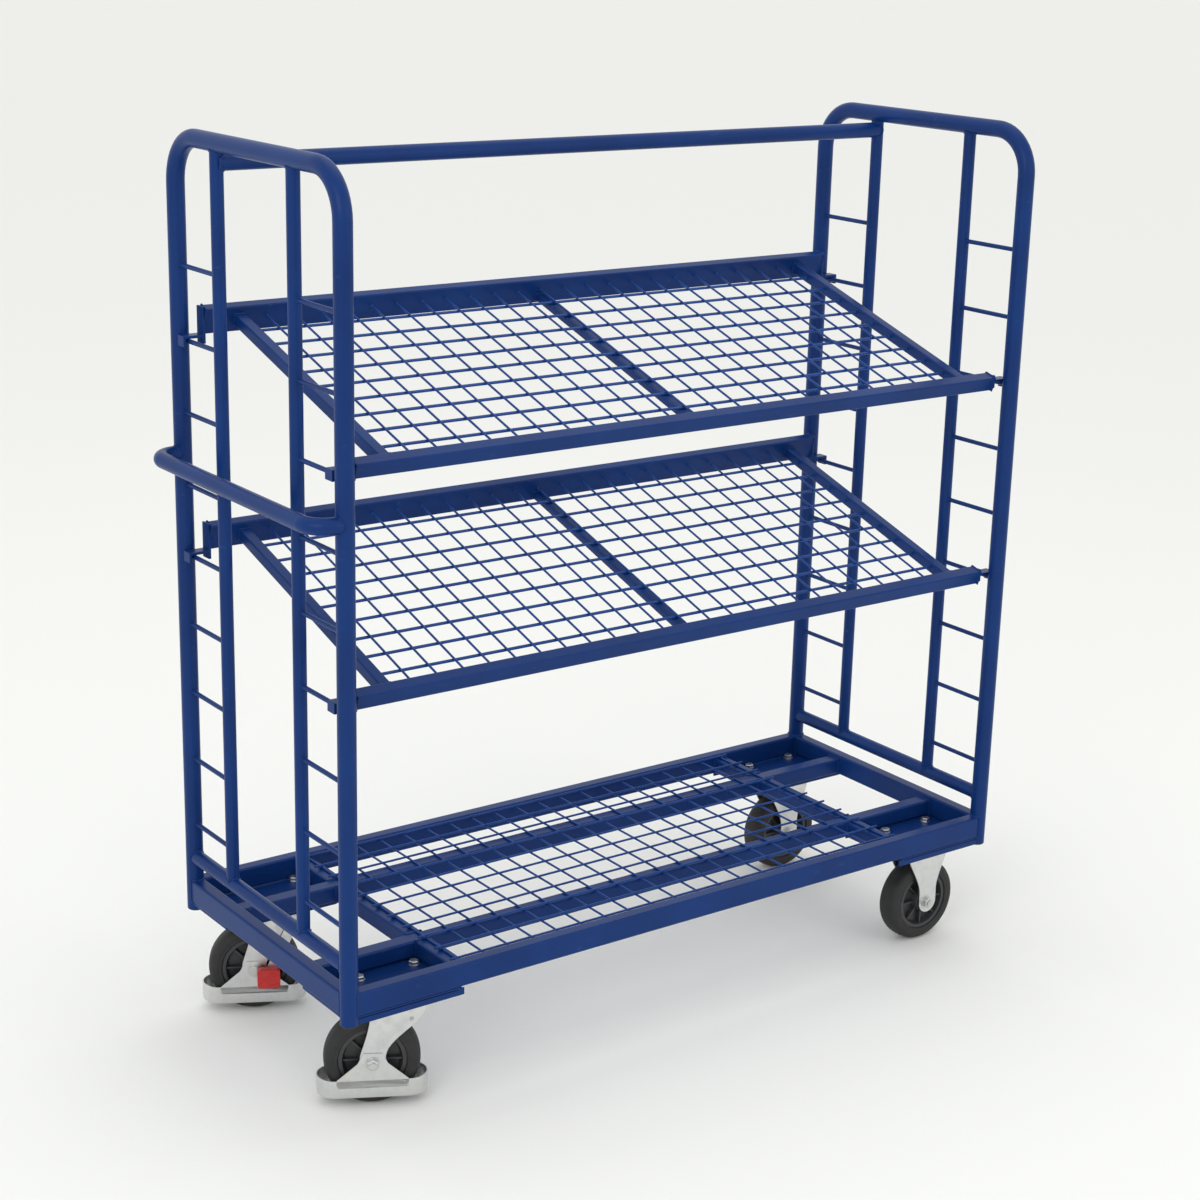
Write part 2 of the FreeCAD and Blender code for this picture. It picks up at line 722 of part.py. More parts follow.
def top_plate(pin_hole):
    """A castor's top plate with its four bolt holes."""
    half_x = S.plate_length / 2
    half_y = S.plate_width / 2
    holes = [
        rod(S.bolt_hole_rad, "z", (S.plate_low, S.plate_high),
            (S.bolt_span_x / 2 * i, S.bolt_span_y / 2 * j))
        for i in (-1, 1) for j in (-1, 1)
    ]
    plate = block((-half_x, half_x), (-half_y, half_y), (S.plate_low, S.plate_high))
    if not pin_hole:
        return cut(plate, holes)
    race = rod(S.ball_circle + S.race_half, "z", (S.race_low, S.plate_low), (0, 0))
    inside = rod(S.ball_circle - S.race_half, "z", (S.race_low, S.plate_low), (0, 0))
    pin = rod(S.kingpin_rad, "z", (S.plate_low, S.plate_high), (0, 0))
    return cut(fuse([plate, race]), holes + [inside, pin])


def swivel_places(maker):
    """One copy of a non-turning swivel part over each swivel axis."""
    return [put(maker(), (*castor_middle(sx, sy), 0)) for name, sx, sy in SWIVEL]


def kingpin():
    foot = S.crown_top - S.kingpin_drop
    shank = rod(S.kingpin_rad, "z", (foot, S.plate_high), (0, 0))
    head_top = S.crown_top - S.fork_plate - S.kingpin_gap
    head = rod(S.kingpin_head, "z", (foot, head_top), (0, 0))
    return fuse([shank, head])


def ball_ring():
    balls = []
    for number in range(int(S.ball_count.number)):
        ball = doc.addObject("Part::Sphere", "ball")
        bind(ball, "Radius", S.ball_rad)
        turn = 360 * number / S.ball_count
        put(ball, (S.ball_circle * cos(turn), S.ball_circle * sin(turn),
                   (S.crown_top + S.race_low) / 2))
        balls.append(ball)
    return group(balls)


node("swivel_top_plates", group(swivel_places(lambda: top_plate(True))))
node("swivel_kingpins", group(swivel_places(kingpin)))
node("swivel_balls", group(swivel_places(ball_ring)))


def fork_body(name, outline, top, holes):
    """A pressed fork: an outline padded across both legs, then opened between them."""
    body = new_body(name)
    side = polygon(new_sketch(body, "XZ_Plane", -leg_out), outline)
    extrude(body, "Pad", side, leg_out * 2)
    half_gap = S.fork_inside / 2
    reach = 100
    opening = polygon(new_sketch(body, "YZ_Plane", -reach), (
        (-half_gap, 0), (half_gap, 0), (half_gap, top), (-half_gap, top)))
    extrude(body, "Pocket", opening, reach * 2)
    for radius, spot in holes:
        bore = circle(new_sketch(body, "XZ_Plane", -leg_out), radius, spot)
        extrude(body, "Pocket", bore, leg_out * 2)
    return body


def swivel_fork(name):
    top = S.crown_top
    axle_x = -S.trail
    shoulder = top - S.shoulder_drop
    outline = (
        (-S.crown_back, top), (S.crown_front, top), (S.crown_front, shoulder),
        (axle_x + S.leg_half, axle_level - S.leg_round),
        (axle_x + S.leg_toe, axle_level - S.leg_foot),
        (axle_x - S.leg_toe, axle_level - S.leg_foot),
        (axle_x - S.leg_half, axle_level - S.leg_round),
        (axle_x - S.leg_half, axle_level + S.leg_rise),
        (-S.crown_back - S.back_swell, top - S.back_drop),
    )
    holes = (
        (S.axle_rad, (axle_x, axle_level)),
        (S.brake_rad + S.run_gap, (S.brake_x, S.brake_z)),
    )
    body = fork_body(name, outline, top - S.fork_plate, holes)
    disc = circle(new_sketch(body, "XY_Plane", top - S.fork_plate), S.crown_rad)
    extrude(body, "Pad", disc, S.fork_plate)
    pin = circle(new_sketch(body, "XY_Plane", top - S.fork_plate), S.kingpin_rad + S.run_gap)
    extrude(body, "Pocket", pin, S.fork_plate)
    return body


def fixed_bracket(name):
    """A fixed castor's bracket: a top plate with two pressed legs."""
    top = S.plate_low
    edge = [
        (S.bracket_half, top), (S.bracket_waist, top - S.bracket_drop),
        (S.bracket_leg, axle_level - S.bracket_round), (S.leg_toe, axle_level - S.bracket_foot),
    ]
    mirrored = [(-x, z) for x, z in edge]
    outline = edge + mirrored[::-1]
    legs = fork_body(name, outline, top - S.fork_plate, ((S.axle_rad, (0, axle_level)),))
    return fuse([top_plate(False), legs])


def axle_set(x, inward):
    """Axle bolt with its low head on the inward side, its nut, and the spacer sleeve."""
    level = axle_level
    clear = leg_out + S.guard_thick
    nut_out = clear + S.axle_nut_high
    shank = rod(S.axle_rad, "y", (-(nut_out + S.axle_spare) * inward, clear * inward), (x, level))
    head_ends = (clear * inward, (clear + S.axle_head_high) * inward)
    head = rod(S.axle_head_rad, "y", head_ends, (x, level))
    nut_ends = low_high((-clear * inward, -nut_out * inward))
    nut_shape = doc.addObject("Part::Prism", "nut")
    nut_shape.Polygon = 6
    bind(nut_shape, "Circumradius", S.axle_nut_rad)
    bind(nut_shape, "Height", S.axle_nut_high)
    put(nut_shape, (x, nut_ends[0], level), ALONG["y"])
    nut = cut(nut_shape, [rod(S.axle_rad, "y", nut_ends, (x, level))])
    half_gap = S.fork_inside / 2
    sleeve = cut(rod(S.sleeve_rad, "y", (-half_gap, half_gap), (x, level)),
                 [rod(S.axle_rad, "y", (-half_gap, half_gap), (x, level))])
    return group([fuse([shank, head]), nut, sleeve])


def washers(x):
    """Pairs of washers that fill the guard's place on a fixed castor."""
    rings = []
    for sy in (-1, 1):
        ends = (leg_out * sy, (leg_out + S.guard_thick) * sy)
        rings.append(cut(rod(S.washer_rad, "y", ends, (x, axle_level)),
                         [rod(S.axle_rad, "y", ends, (x, axle_level))]))
    return rings


def foot_guard(name):
    """A sheet band round the wheel near the floor, with side plates up to the axle."""
    axle_x = -S.trail
    wide = leg_out + S.guard_thick

    def stadium(half_width):
        ends = [
            rod(half_width, "z", (S.guard_low, S.guard_high), (axle_x + S.guard_end * sx, 0))
            for sx in (-1, 1)
        ]
        middle = block((axle_x - S.guard_end, axle_x + S.guard_end), (-half_width, half_width),
                       (S.guard_low, S.guard_high))
        return fuse([*ends, middle])

    band = cut(stadium(wide), [stadium(leg_out)])
    body = new_body(f"{name}_guard_sides")
    low = S.guard_high - S.guard_lap
    cheek_top = axle_level + S.cheek_rise
    side = polygon(new_sketch(body, "XZ_Plane", -wide), (
        (axle_x - S.guard_end, low), (axle_x + S.guard_end, low),
        (axle_x + S.guard_end, S.guard_high),
        (axle_x + S.cheek_half, axle_level + S.cheek_start),
        (axle_x + S.cheek_top_half, cheek_top), (axle_x - S.cheek_top_half, cheek_top),
        (axle_x - S.cheek_half, axle_level + S.cheek_start),
        (axle_x - S.guard_end, S.guard_high)))
    extrude(body, "Pad", side, wide * 2)
    inside = polygon(new_sketch(body, "YZ_Plane", -S.wheel_dia), (
        (-leg_out, 0), (leg_out, 0), (leg_out, S.wheel_dia), (-leg_out, S.wheel_dia)))
    extrude(body, "Pocket", inside, S.wheel_dia * 2)
    bore = circle(new_sketch(body, "XZ_Plane", -wide), S.axle_rad, (axle_x, axle_level))
    extrude(body, "Pocket", bore, wide * 2)
    return fuse([band, body])


# The brake arm hangs on the side that faces the trolley's middle.
arm_start = leg_out + S.guard_thick + S.arm_gap
arm_stop = arm_start + S.arm_thick


def hanging_bar(lean, width, length, y_ends):
    """A flat bar that hangs from the brake shaft, leaning back by an angle in degrees."""
    low, high = low_high(y_ends)
    bar = doc.addObject("Part::Box", "bar")
    bind(bar, "Length", width)
    bind(bar, "Width", high - low)
    bind(bar, "Height", length)
    at = (S.brake_x - cos(lean) * width / 2 - sin(lean) * length, low,
          S.brake_z + sin(lean) * width / 2 - cos(lean) * length)
    return put(bar, at, Turn(0, 1, 0, lean))


def brake_lever(inward):
    """Brake shaft through the fork, its cam over the tread, and the arm outside one leg."""
    arm_ends = (arm_start * inward, arm_stop * inward)
    centre = (S.brake_x, S.brake_z)
    shaft = rod(S.brake_rad, "y", (-leg_out * inward, arm_stop * inward), centre)
    cam = hanging_bar(S.cam_lean, S.cam_thick, S.cam_reach, (-S.cam_half, S.cam_half))
    arm = hanging_bar(S.arm_lean, S.arm_wide, S.arm_length, arm_ends)
    boss = rod(S.boss_rad, "y", arm_ends, centre)
    return fuse([shaft, cam, arm, boss])


def brake_pedal(name, inward):
    """Moulded pedal pushed on the arm's lower end."""
    far = arm_stop + S.pedal_thick
    body = new_body(name)
    half_wide = S.pedal_wide / 2
    half_tall = S.pedal_tall / 2
    hang = S.arm_length - half_tall
    centre = (S.brake_x - sin(S.arm_lean) * hang, 0, S.brake_z - cos(S.arm_lean) * hang)
    start = -(far if inward > 0 else -arm_stop)
    face = polygon(new_sketch(body, "XZ_Plane", start), (
        (-half_wide, -half_tall), (half_wide, -half_tall), (half_wide, half_tall),
        (-half_wide, half_tall)))
    extrude(body, "Pad", face, S.pedal_thick)
    halfway = (arm_stop + S.pedal_thick / 2).number * inward
    corners = [(half_wide.number * i, halfway, half_tall.number * k)
               for i in (-1, 1) for k in (-1, 1)]
    round_edges(body, S.pedal_round, corners)
    return group([put(body, centre)])


def wheel_hub(name):
    """Moulded wheel body: hub, web and rim."""
    body = new_body(name)
    half_hub = S.hub_length / 2
    half_rim = S.tyre_width / 2 - S.rim_inset
    rim = S.rim_dia / 2
    hub_out = S.bearing_rad + S.hub_wall
    half = [
        (S.bearing_rad, half_hub), (hub_out, half_hub), (hub_out + S.hub_flare, S.web_half),
        (rim - S.rim_wall - S.hub_flare, S.web_half), (rim - S.rim_wall, half_rim),
        (rim, half_rim),
    ]
    mirrored = [(radius, -y) for radius, y in half]
    profile = polygon(new_sketch(body, "XY_Plane"), mirrored + half[::-1])
    revolve(body, profile)
    return body


def wheel_tyre(name):
    """Solid rubber tyre with rounded shoulders, moulded on the rim."""
    body = new_body(name)
    half = S.tyre_width / 2
    rim = S.rim_dia / 2
    tread = S.wheel_dia / 2
    edge = [
        (rim, half - S.rim_inset), (rim + S.tyre_lip, half), (tread - S.tyre_round, half),
        (tread, half - S.tyre_round),
    ]
    mirrored = [(radius, -y) for radius, y in edge]
    profile = polygon(new_sketch(body, "XY_Plane"), mirrored + edge[::-1])
    revolve(body, profile)
    return body


def wheel_bearing():
    """Roller bearing cage pressed in the hub, running on the spacer sleeve."""
    half = S.hub_length / 2
    return cut(rod(S.bearing_rad, "y", (-half, half), (0, 0)),
               [rod(S.sleeve_rad + S.run_gap, "y", (-half, half), (0, 0))])


for name, sx, sy in CASTORS:
    x, y = castor_middle(sx, sy)
    if sx < 0:
        # the wheel trails behind the swivel axis, along the turned castor
        away = (x - S.trail * cos(S.swivel_rest), y - S.trail * sin(S.swivel_rest), axle_level)
        turn = turned
        castor_node(f"{name}_fork", swivel_fork(f"{name}_fork_body"), sx, sy)
        castor_node(f"{name}_foot_guard", foot_guard(name), sx, sy)
        castor_node(f"{name}_axle", axle_set(-S.trail, -sy), sx, sy)
        castor_node(f"{name}_brake_lever", brake_lever(-sy), sx, sy)
        castor_node(f"{name}_brake_pedal", brake_pedal(f"{name}_pedal_body", -sy), sx, sy)
    else:
        away = (x, y, axle_level)
        turn = None
        castor_node(f"{name}_bracket", fixed_bracket(f"{name}_bracket_body"), sx, sy)
    node(f"{name}_wheel_hub", wheel_hub(f"{name}_hub_body"), away, turn)
    node(f"{name}_tyre", wheel_tyre(f"{name}_tyre_body"), away, turn)
    node(f"{name}_wheel_bearing", wheel_bearing(), away, turn)

fixed_axles = []
for name, sx, sy in FIXED:
    spot = (*castor_middle(sx, sy), 0)
    fixed_axles.append(put(group([axle_set(0, 1), *washers(0)]), spot))
node("fixed_castor_axles", group(fixed_axles))

# Tilted shelves -------------------------------------------------------------------------------
# A shelf is drawn flat, with its front rail on the X axis and Y up the slope, then tilted.

rear_rail_y = S.shelf_front_y + S.shelf_depth * cos(S.shelf_tilt)
tilted = Turn(1, 0, 0, S.shelf_tilt)
half_front = S.front_rail_side / 2
half_rear = S.rear_rail_thick / 2
bars_start = half_front
bars_end = S.shelf_depth - half_rear


def shelf_hook(side, y, rung_level, plate_high):
    """A flat steel hook welded on a rail's end: end plate, bar over the rung, outer lip."""
    inner = S.shelf_rail_reach
    lip = half_span + S.rung_dia / 2 + S.hook_lip_gap
    bar_low = rung_level + S.rung_dia / 2 + S.hook_gap
    bar_high = bar_low + S.hook_thick
    across = (y - S.hook_half, y + S.hook_half)
    plate = block((inner * side, (inner + S.hook_thick) * side), across,
                  (rung_level - S.hook_foot, plate_high))
    bar = block((inner * side, (lip + S.hook_thick) * side), across, (bar_low, bar_high))
    drop = block((lip * side, (lip + S.hook_thick) * side), across,
                 (bar_high - S.hook_lip_drop, bar_high))
    return fuse([plate, bar, drop])


for name, front_rung in (("upper", 3), ("lower", 6)):
    front_rung_level = S.rung_first - S.rung_pitch * (front_rung - 1)
    rear_rung_level = S.rung_first - S.rung_pitch * (front_rung - 2)
    front_level = front_rung_level + S.shelf_over_rung
    rear_level = front_level + S.shelf_depth * sin(S.shelf_tilt)
    at = (0, S.shelf_front_y, front_level)
    reach = S.shelf_rail_reach
    half_tall = S.rear_rail_tall / 2

    front_rail = box_tube("x", (-reach, reach), (-half_front, half_front),
                          (-half_front, half_front))
    rear_rail = box_tube("x", (-reach, reach), (bars_end, bars_end + S.rear_rail_thick),
                         (-half_tall, half_tall))
    node(f"{name}_shelf_rails", group([front_rail, rear_rail]), at, tilted)

    half_bar = S.side_bar_side / 2
    bars = [
        box_tube("y", (S.shelf_half * sx - half_bar, S.shelf_half * sx + half_bar),
                 (bars_start, bars_end), (-half_bar, half_bar))
        for sx in (-1, 1)
    ]
    brace_top = -S.wire_dia
    brace = box_tube("y", (-half_bar, half_bar), (bars_start, bars_end),
                     (brace_top - S.brace_tall, brace_top))
    node(f"{name}_shelf_bars", group([*bars, brace]), at, tilted)

    slope_wires = [
        rod(wire_rad, "y", (bars_start, bars_end), (x, wire_rad)) for x in mesh_lines(23)
    ]
    wire_ends = (-S.shelf_half + half_bar, S.shelf_half - half_bar)
    along_wires = [
        rod(wire_rad, "x", wire_ends, (S.mesh_pitch * step, -wire_rad)) for step in range(1, 10)
    ]
    node(f"{name}_shelf_mesh", group(slope_wires + along_wires), at, tilted)

    hooks = []
    for sx in (-1, 1):
        hooks.append(shelf_hook(sx, S.shelf_front_y, front_rung_level,
                                front_level + half_front))
        hooks.append(shelf_hook(sx, rear_rail_y, rear_rung_level, rear_level + half_tall))
    node(f"{name}_shelf_hooks", group(hooks))

# Checks and export ----------------------------------------------------------------------------

doc.recompute()
for thing in doc.Objects:
    if "Invalid" in thing.State or "Error" in thing.State:
        raise RuntimeError(f"{thing.Label} ({thing.TypeId}) failed: {thing.State}")
if len(NODES) > 60:
    raise RuntimeError(f"{len(NODES)} nodes are too many")
os.makedirs("parts", exist_ok=True)
for label, thing in NODES.items():
    shape = thing.Shape
    if shape.isNull() or not shape.isValid() or not shape.Solids:
        raise RuntimeError(f"{label} has no valid solid")
    shape.exportStep(f"parts/{label}.step")
    box = shape.optimalBoundingBox()
    print(f"{label:28s} solids {len(shape.Solids):3d} volume {shape.Volume:12.0f} "
          f"x {box.XMin:8.1f} {box.XMax:8.1f} y {box.YMin:7.1f} {box.YMax:7.1f} "
          f"z {box.ZMin:7.1f} {box.ZMax:7.1f}")
print(len(NODES), "nodes")
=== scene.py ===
import json
import math

import bmesh
import bpy
from mathutils import Matrix, Vector


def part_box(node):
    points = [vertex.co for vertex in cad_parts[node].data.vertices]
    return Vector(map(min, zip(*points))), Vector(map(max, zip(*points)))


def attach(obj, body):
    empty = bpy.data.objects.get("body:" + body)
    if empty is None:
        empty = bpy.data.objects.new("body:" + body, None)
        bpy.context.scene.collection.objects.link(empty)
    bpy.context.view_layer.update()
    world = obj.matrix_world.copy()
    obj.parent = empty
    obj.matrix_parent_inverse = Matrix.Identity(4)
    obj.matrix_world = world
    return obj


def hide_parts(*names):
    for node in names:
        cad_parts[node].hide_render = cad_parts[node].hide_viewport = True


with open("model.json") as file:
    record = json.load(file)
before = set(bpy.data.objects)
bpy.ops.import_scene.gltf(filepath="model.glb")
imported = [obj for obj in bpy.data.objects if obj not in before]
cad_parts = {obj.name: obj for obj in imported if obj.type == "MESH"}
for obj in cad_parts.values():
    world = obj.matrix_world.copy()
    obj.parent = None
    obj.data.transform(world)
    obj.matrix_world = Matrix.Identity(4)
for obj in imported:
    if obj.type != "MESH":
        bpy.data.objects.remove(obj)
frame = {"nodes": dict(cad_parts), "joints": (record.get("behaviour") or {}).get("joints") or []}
for spare in ("Cube", "Light", "Camera"):
    if spare in bpy.data.objects:
        bpy.data.objects.remove(bpy.data.objects[spare])
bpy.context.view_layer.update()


# End frame hoops ------------------------------------------------------------------------------
# Each end frame is one steel tube of 30 mm bent into an upside-down U, with two quarter bends of
# 75 mm radius at the top. Everything welded to it is powder coated blue in one go.

class Link:
    """A socket on its way through a tree; arithmetic on it adds Math nodes."""

    def __init__(self, nodes, socket):
        self.nodes = nodes
        self.socket = socket

    def maths(self, operation, first, second=0.0):
        return self.nodes.add("ShaderNodeMath", {"operation": operation}, {0: first, 1: second})

    def __add__(self, other):
        return self.maths("ADD", self, other)

    def __radd__(self, other):
        return self.maths("ADD", other, self)

    def __sub__(self, other):
        return self.maths("SUBTRACT", self, other)

    def __rsub__(self, other):
        return self.maths("SUBTRACT", other, self)

    def __mul__(self, other):
        return self.maths("MULTIPLY", self, other)

    def __rmul__(self, other):
        return self.maths("MULTIPLY", other, self)

    def __truediv__(self, other):
        return self.maths("DIVIDE", self, other)

    def limited(self):
        return self.nodes.add("ShaderNodeClamp", {}, {"Value": self})


class Nodes:
    """A node tree being wired, for a finish or for a jig."""

    def __init__(self, tree):
        self.tree = tree

    def feed(self, socket, value):
        if isinstance(value, Link):
            self.tree.links.new(value.socket, socket)
        else:
            socket.default_value = value

    def add(self, kind, settings, sockets, output=0):
        """A node with its settings made first, then the values or links of its sockets."""
        node = self.tree.nodes.new(kind)
        for setting, value in settings.items():
            setattr(node, setting, value)
        for name, value in sockets.items():
            self.feed(node.inputs[name], value)
        return Link(self, node.outputs[output])


class Finish(Nodes):
    """A material whose pattern is laid out in the object's own metres."""

    def __init__(self, name):
        self.material = bpy.data.materials.new(name)
        self.material.use_nodes = True
        super().__init__(self.material.node_tree)
        self.surface = self.tree.nodes["Principled BSDF"]

    def grain(self, scale, detail=2.0, stretch=(1.0, 1.0, 1.0)):
        place = self.add("ShaderNodeTexCoord", {}, {}, "Object")
        place = self.add("ShaderNodeMapping", {}, {"Vector": place, "Scale": stretch})
        return self.add("ShaderNodeTexNoise", {},
                        {"Vector": place, "Scale": scale, "Detail": detail})

    def blend(self, share, first, second):
        return self.add("ShaderNodeMix", {"data_type": "RGBA"}, {0: share, 6: first, 7: second}, 2)

    def coat(self, sockets):
        for name, value in sockets.items():
            self.feed(self.surface.inputs[name], value)

    def bump(self, height, strength, depth):
        skin = self.add("ShaderNodeBump", {},
                        {"Strength": strength, "Distance": depth, "Height": height})
        self.coat({"Normal": skin})


def powder_coat(name, deep, bright):
    """Semi-gloss powder coat: an orange-peel skin, faint clouding and a few pale scuffs."""
    coat = Finish(name)
    cloud = coat.grain(7.0, 3.0)
    peel = coat.grain(900.0)
    scuff = ((coat.grain(38.0, 6.0, (1.0, 1.0, 3.0)) - 0.67) * 9.0).limited()
    colour = coat.blend(cloud, deep, bright)
    colour = coat.blend(scuff * 0.35, colour, (0.05, 0.09, 0.19, 1.0))
    coat.coat({
        "Base Color": colour,
        "Roughness": 0.27 + peel * 0.08 + cloud * 0.06 + scuff * 0.2,
        "Specular IOR Level": 0.15,
    })
    coat.bump(peel, 0.10, 0.0004)
    return coat.material


frame_blue = powder_coat("frame_blue", (0.003, 0.018, 0.095, 1.0), (0.005, 0.041, 0.195, 1.0))


class Jig(Nodes):
    """A Geometry Nodes tree with named sizes that makes a piece from a base mesh."""

    def __init__(self, name, sizes):
        super().__init__(bpy.data.node_groups.new(name, "GeometryNodeTree"))
        face = self.tree.interface
        face.new_socket("Geometry", in_out="INPUT", socket_type="NodeSocketGeometry")
        for size, kind in sizes.items():
            face.new_socket(size, in_out="INPUT", socket_type=f"NodeSocket{kind}")
        face.new_socket("Finish", in_out="INPUT", socket_type="NodeSocketMaterial")
        face.new_socket("Geometry", in_out="OUTPUT", socket_type="NodeSocketGeometry")
        self.entry = self.tree.nodes.new("NodeGroupInput")

    def size(self, name):
        return Link(self, self.entry.outputs[name])

    def close(self, shape):
        real = self.add("GeometryNodeRealizeInstances", {}, {"Geometry": shape})
        done = self.add("GeometryNodeSetMaterial", {},
                        {"Geometry": real, "Material": self.size("Finish")})
        self.feed(self.tree.nodes.new("NodeGroupOutput").inputs["Geometry"], done)
        return self

    def make(self, name, base, finish, **sizes):
        """Run the jig on a base mesh and keep the result as a plain mesh."""
        piece = bpy.data.objects.new(name, base)
        bpy.context.scene.collection.objects.link(piece)
        run = piece.modifiers.new(name, "NODES")
        run.node_group = self.tree
        sizes["Finish"] = finish
        for item in self.tree.interface.items_tree:
            if item.in_out == "INPUT" and item.name in sizes:
                run[item.identifier] = sizes[item.name]
        return baked(piece)


def baked(piece):
    """Swap a piece's mesh for the result of its modifiers."""
    ready = piece.evaluated_get(bpy.context.evaluated_depsgraph_get())
    mesh = bpy.data.meshes.new_from_object(ready)
    piece.modifiers.clear()
    piece.data = mesh
    return piece


def centre_lines(paths, closed=False):
    """A base mesh of polylines for the jigs that follow a path."""
    points = []
    edges = []
    for path in paths:
        first = len(points)
        points += [tuple(point) for point in path]
        last = len(points) - 1
        edges += [(index, index + 1) for index in range(first, last)]
        if closed:
            edges.append((last, first))
    mesh = bpy.data.meshes.new("centre_lines")
    mesh.from_pydata(points, edges, [])
    return mesh


def fit(piece, body, slot, *nodes):
    """Fix a finished piece to its body, in place of the plain sub-parts it stands for."""
    piece.data.shade_smooth()
    piece.data.set_sharp_from_angle(angle=math.radians(38))
    even = piece.modifiers.new("even_shading", "WEIGHTED_NORMAL")
    even.keep_sharp = True
    baked(piece)
    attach(piece, body)
    if nodes:
        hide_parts(*nodes)
    return piece


tube_jig = Jig("bent_tube", {"Radius": "Float", "Bend": "Float", "Sides": "Int"})
line = tube_jig.add("GeometryNodeMeshToCurve", {}, {"Mesh": tube_jig.size("Geometry")})
line = tube_jig.add("GeometryNodeFilletCurve", {"mode": "POLY"},
                    {"Curve": line, "Radius": tube_jig.size("Bend"), "Count": 12})
section = tube_jig.add("GeometryNodeCurvePrimitiveCircle", {"mode": "RADIUS"},
                       {"Radius": tube_jig.size("Radius"), "Resolution": tube_jig.size("Sides")})
tube_jig.close(tube_jig.add("GeometryNodeCurveToMesh", {},
                            {"Curve": line, "Profile Curve": section, "Fill Caps": True}))

post_rad = 0.015
ends_x = []
for node in ("left_end_hoop", "right_end_hoop"):
    low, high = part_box(node)
    ends_x.append((low.x + high.x) / 2)
foot_z = low.z
top_z = high.z - post_rad
post_y = high.y - post_rad
hoops = tube_jig.make(
    "end_frame_hoops",
    centre_lines([
        [(x, -post_y, foot_z), (x, -post_y, top_z), (x, post_y, top_z), (x, post_y, foot_z)]
        for x in ends_x
    ]),
    frame_blue, Radius=post_rad, Bend=0.075, Sides=32)
fit(hoops, "trolley", "blue_frame", "left_end_hoop", "right_end_hoop")


# Inner uprights, cross tubes and ladder rungs ---------------------------------------------------
# Two thinner tubes stand inside each hoop on a low cross tube. Nine round rods between each
# post and the tube beside it make the ladders that the shelves hang on.

upright_rad = 0.011
cross_rad = 0.0125
rung_rad = 0.004
low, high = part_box("left_inner_uprights")
upright_y = high.y - upright_rad
low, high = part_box("left_cross_tube")
cross_z = (low.z + high.z) / 2
low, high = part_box("left_ladder_rungs")
rung_low = low.z + rung_rad
rung_step = (high.z - low.z - 2 * rung_rad) / 8
rung_levels = [rung_low + rung_step * step for step in range(9)]

uprights = tube_jig.make(
    "inner_upright_tubes",
    centre_lines([[(x, y, cross_z), (x, y, top_z)]
                  for x in ends_x for y in (-upright_y, upright_y)]),
    frame_blue, Radius=upright_rad, Bend=0.0, Sides=28)
fit(uprights, "trolley", "blue_frame", "left_inner_uprights", "right_inner_uprights")

cross_tubes = tube_jig.make(
    "low_cross_tubes",
    centre_lines([[(x, -post_y, cross_z), (x, post_y, cross_z)] for x in ends_x]),
    frame_blue, Radius=cross_rad, Bend=0.0, Sides=28)
fit(cross_tubes, "trolley", "blue_frame", "left_cross_tube", "right_cross_tube")

rungs = tube_jig.make(
    "ladder_rung_rods",
    centre_lines([
        [(x, upright_y * side, z), (x, post_y * side, z)]
        for x in ends_x for side in (-1, 1) for z in rung_levels
    ]),
    frame_blue, Radius=rung_rad, Bend=0.0, Sides=14)
fit(rungs, "trolley", "blue_frame", "left_ladder_rungs", "right_ladder_rungs")


# Top rail and push handle -----------------------------------------------------------------------
# One straight tube under the top bends ties the two end frames together. The handle is a tube
# bent outwards at both ends and welded to the left posts at hand height.

top_rad = 0.014
low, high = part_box("top_rail")
top_rail_z = (low.z + high.z) / 2
top_rail = tube_jig.make(
    "long_top_rail",
    centre_lines([[(ends_x[0], upright_y, top_rail_z), (ends_x[1], upright_y, top_rail_z)]]),
    frame_blue, Radius=top_rad, Bend=0.0, Sides=28)
fit(top_rail, "trolley", "blue_frame", "top_rail")

handle_rad = 0.0135
low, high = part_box("push_handle")
handle_z = (low.z + high.z) / 2
grip_x = low.x + handle_rad
handle = tube_jig.make(
    "bent_push_handle",
    centre_lines([[
        (ends_x[0], -post_y, handle_z), (grip_x, -post_y, handle_z),
        (grip_x, post_y, handle_z), (ends_x[0], post_y, handle_z),
    ]]),
    frame_blue, Radius=handle_rad, Bend=0.036, Sides=32)
fit(handle, "trolley", "blue_frame", "push_handle")


# Weld beads of the end frames -------------------------------------------------------------------
# Every tube and rung is fillet welded all round where it meets the next one. The rippled beads
# lie under the same powder coat; those of the rungs and of the push handle are finer.

weld_jig = Jig("weld_bead", {"Bead": "Float", "Step": "Float"})
line = weld_jig.add("GeometryNodeMeshToCurve", {}, {"Mesh": weld_jig.size("Geometry")})
line = weld_jig.add("GeometryNodeResampleCurve", {"mode": "LENGTH"},
                    {"Curve": line, "Length": weld_jig.size("Step")})
along = weld_jig.add("GeometryNodeSplineParameter", {}, {}, "Length")
phase = along / weld_jig.size("Step") * math.pi
ripple = phase.maths("COSINE", phase)
swell = weld_jig.size("Bead") * (1.0 + 0.16 * ripple)
section = weld_jig.add("GeometryNodeCurvePrimitiveCircle", {"mode": "RADIUS"},
                       {"Radius": 1.0, "Resolution": 6})
weld_jig.close(weld_jig.add(
    "GeometryNodeCurveToMesh", {},
    {"Curve": line, "Profile Curve": section, "Scale": swell, "Fill Caps": True}))


def ring(radius, count=20):
    """A round outline as pairs of offsets."""
    turns = [2 * math.pi * number / count for number in range(count)]
    return [(radius * math.cos(turn), radius * math.sin(turn)) for turn in turns]


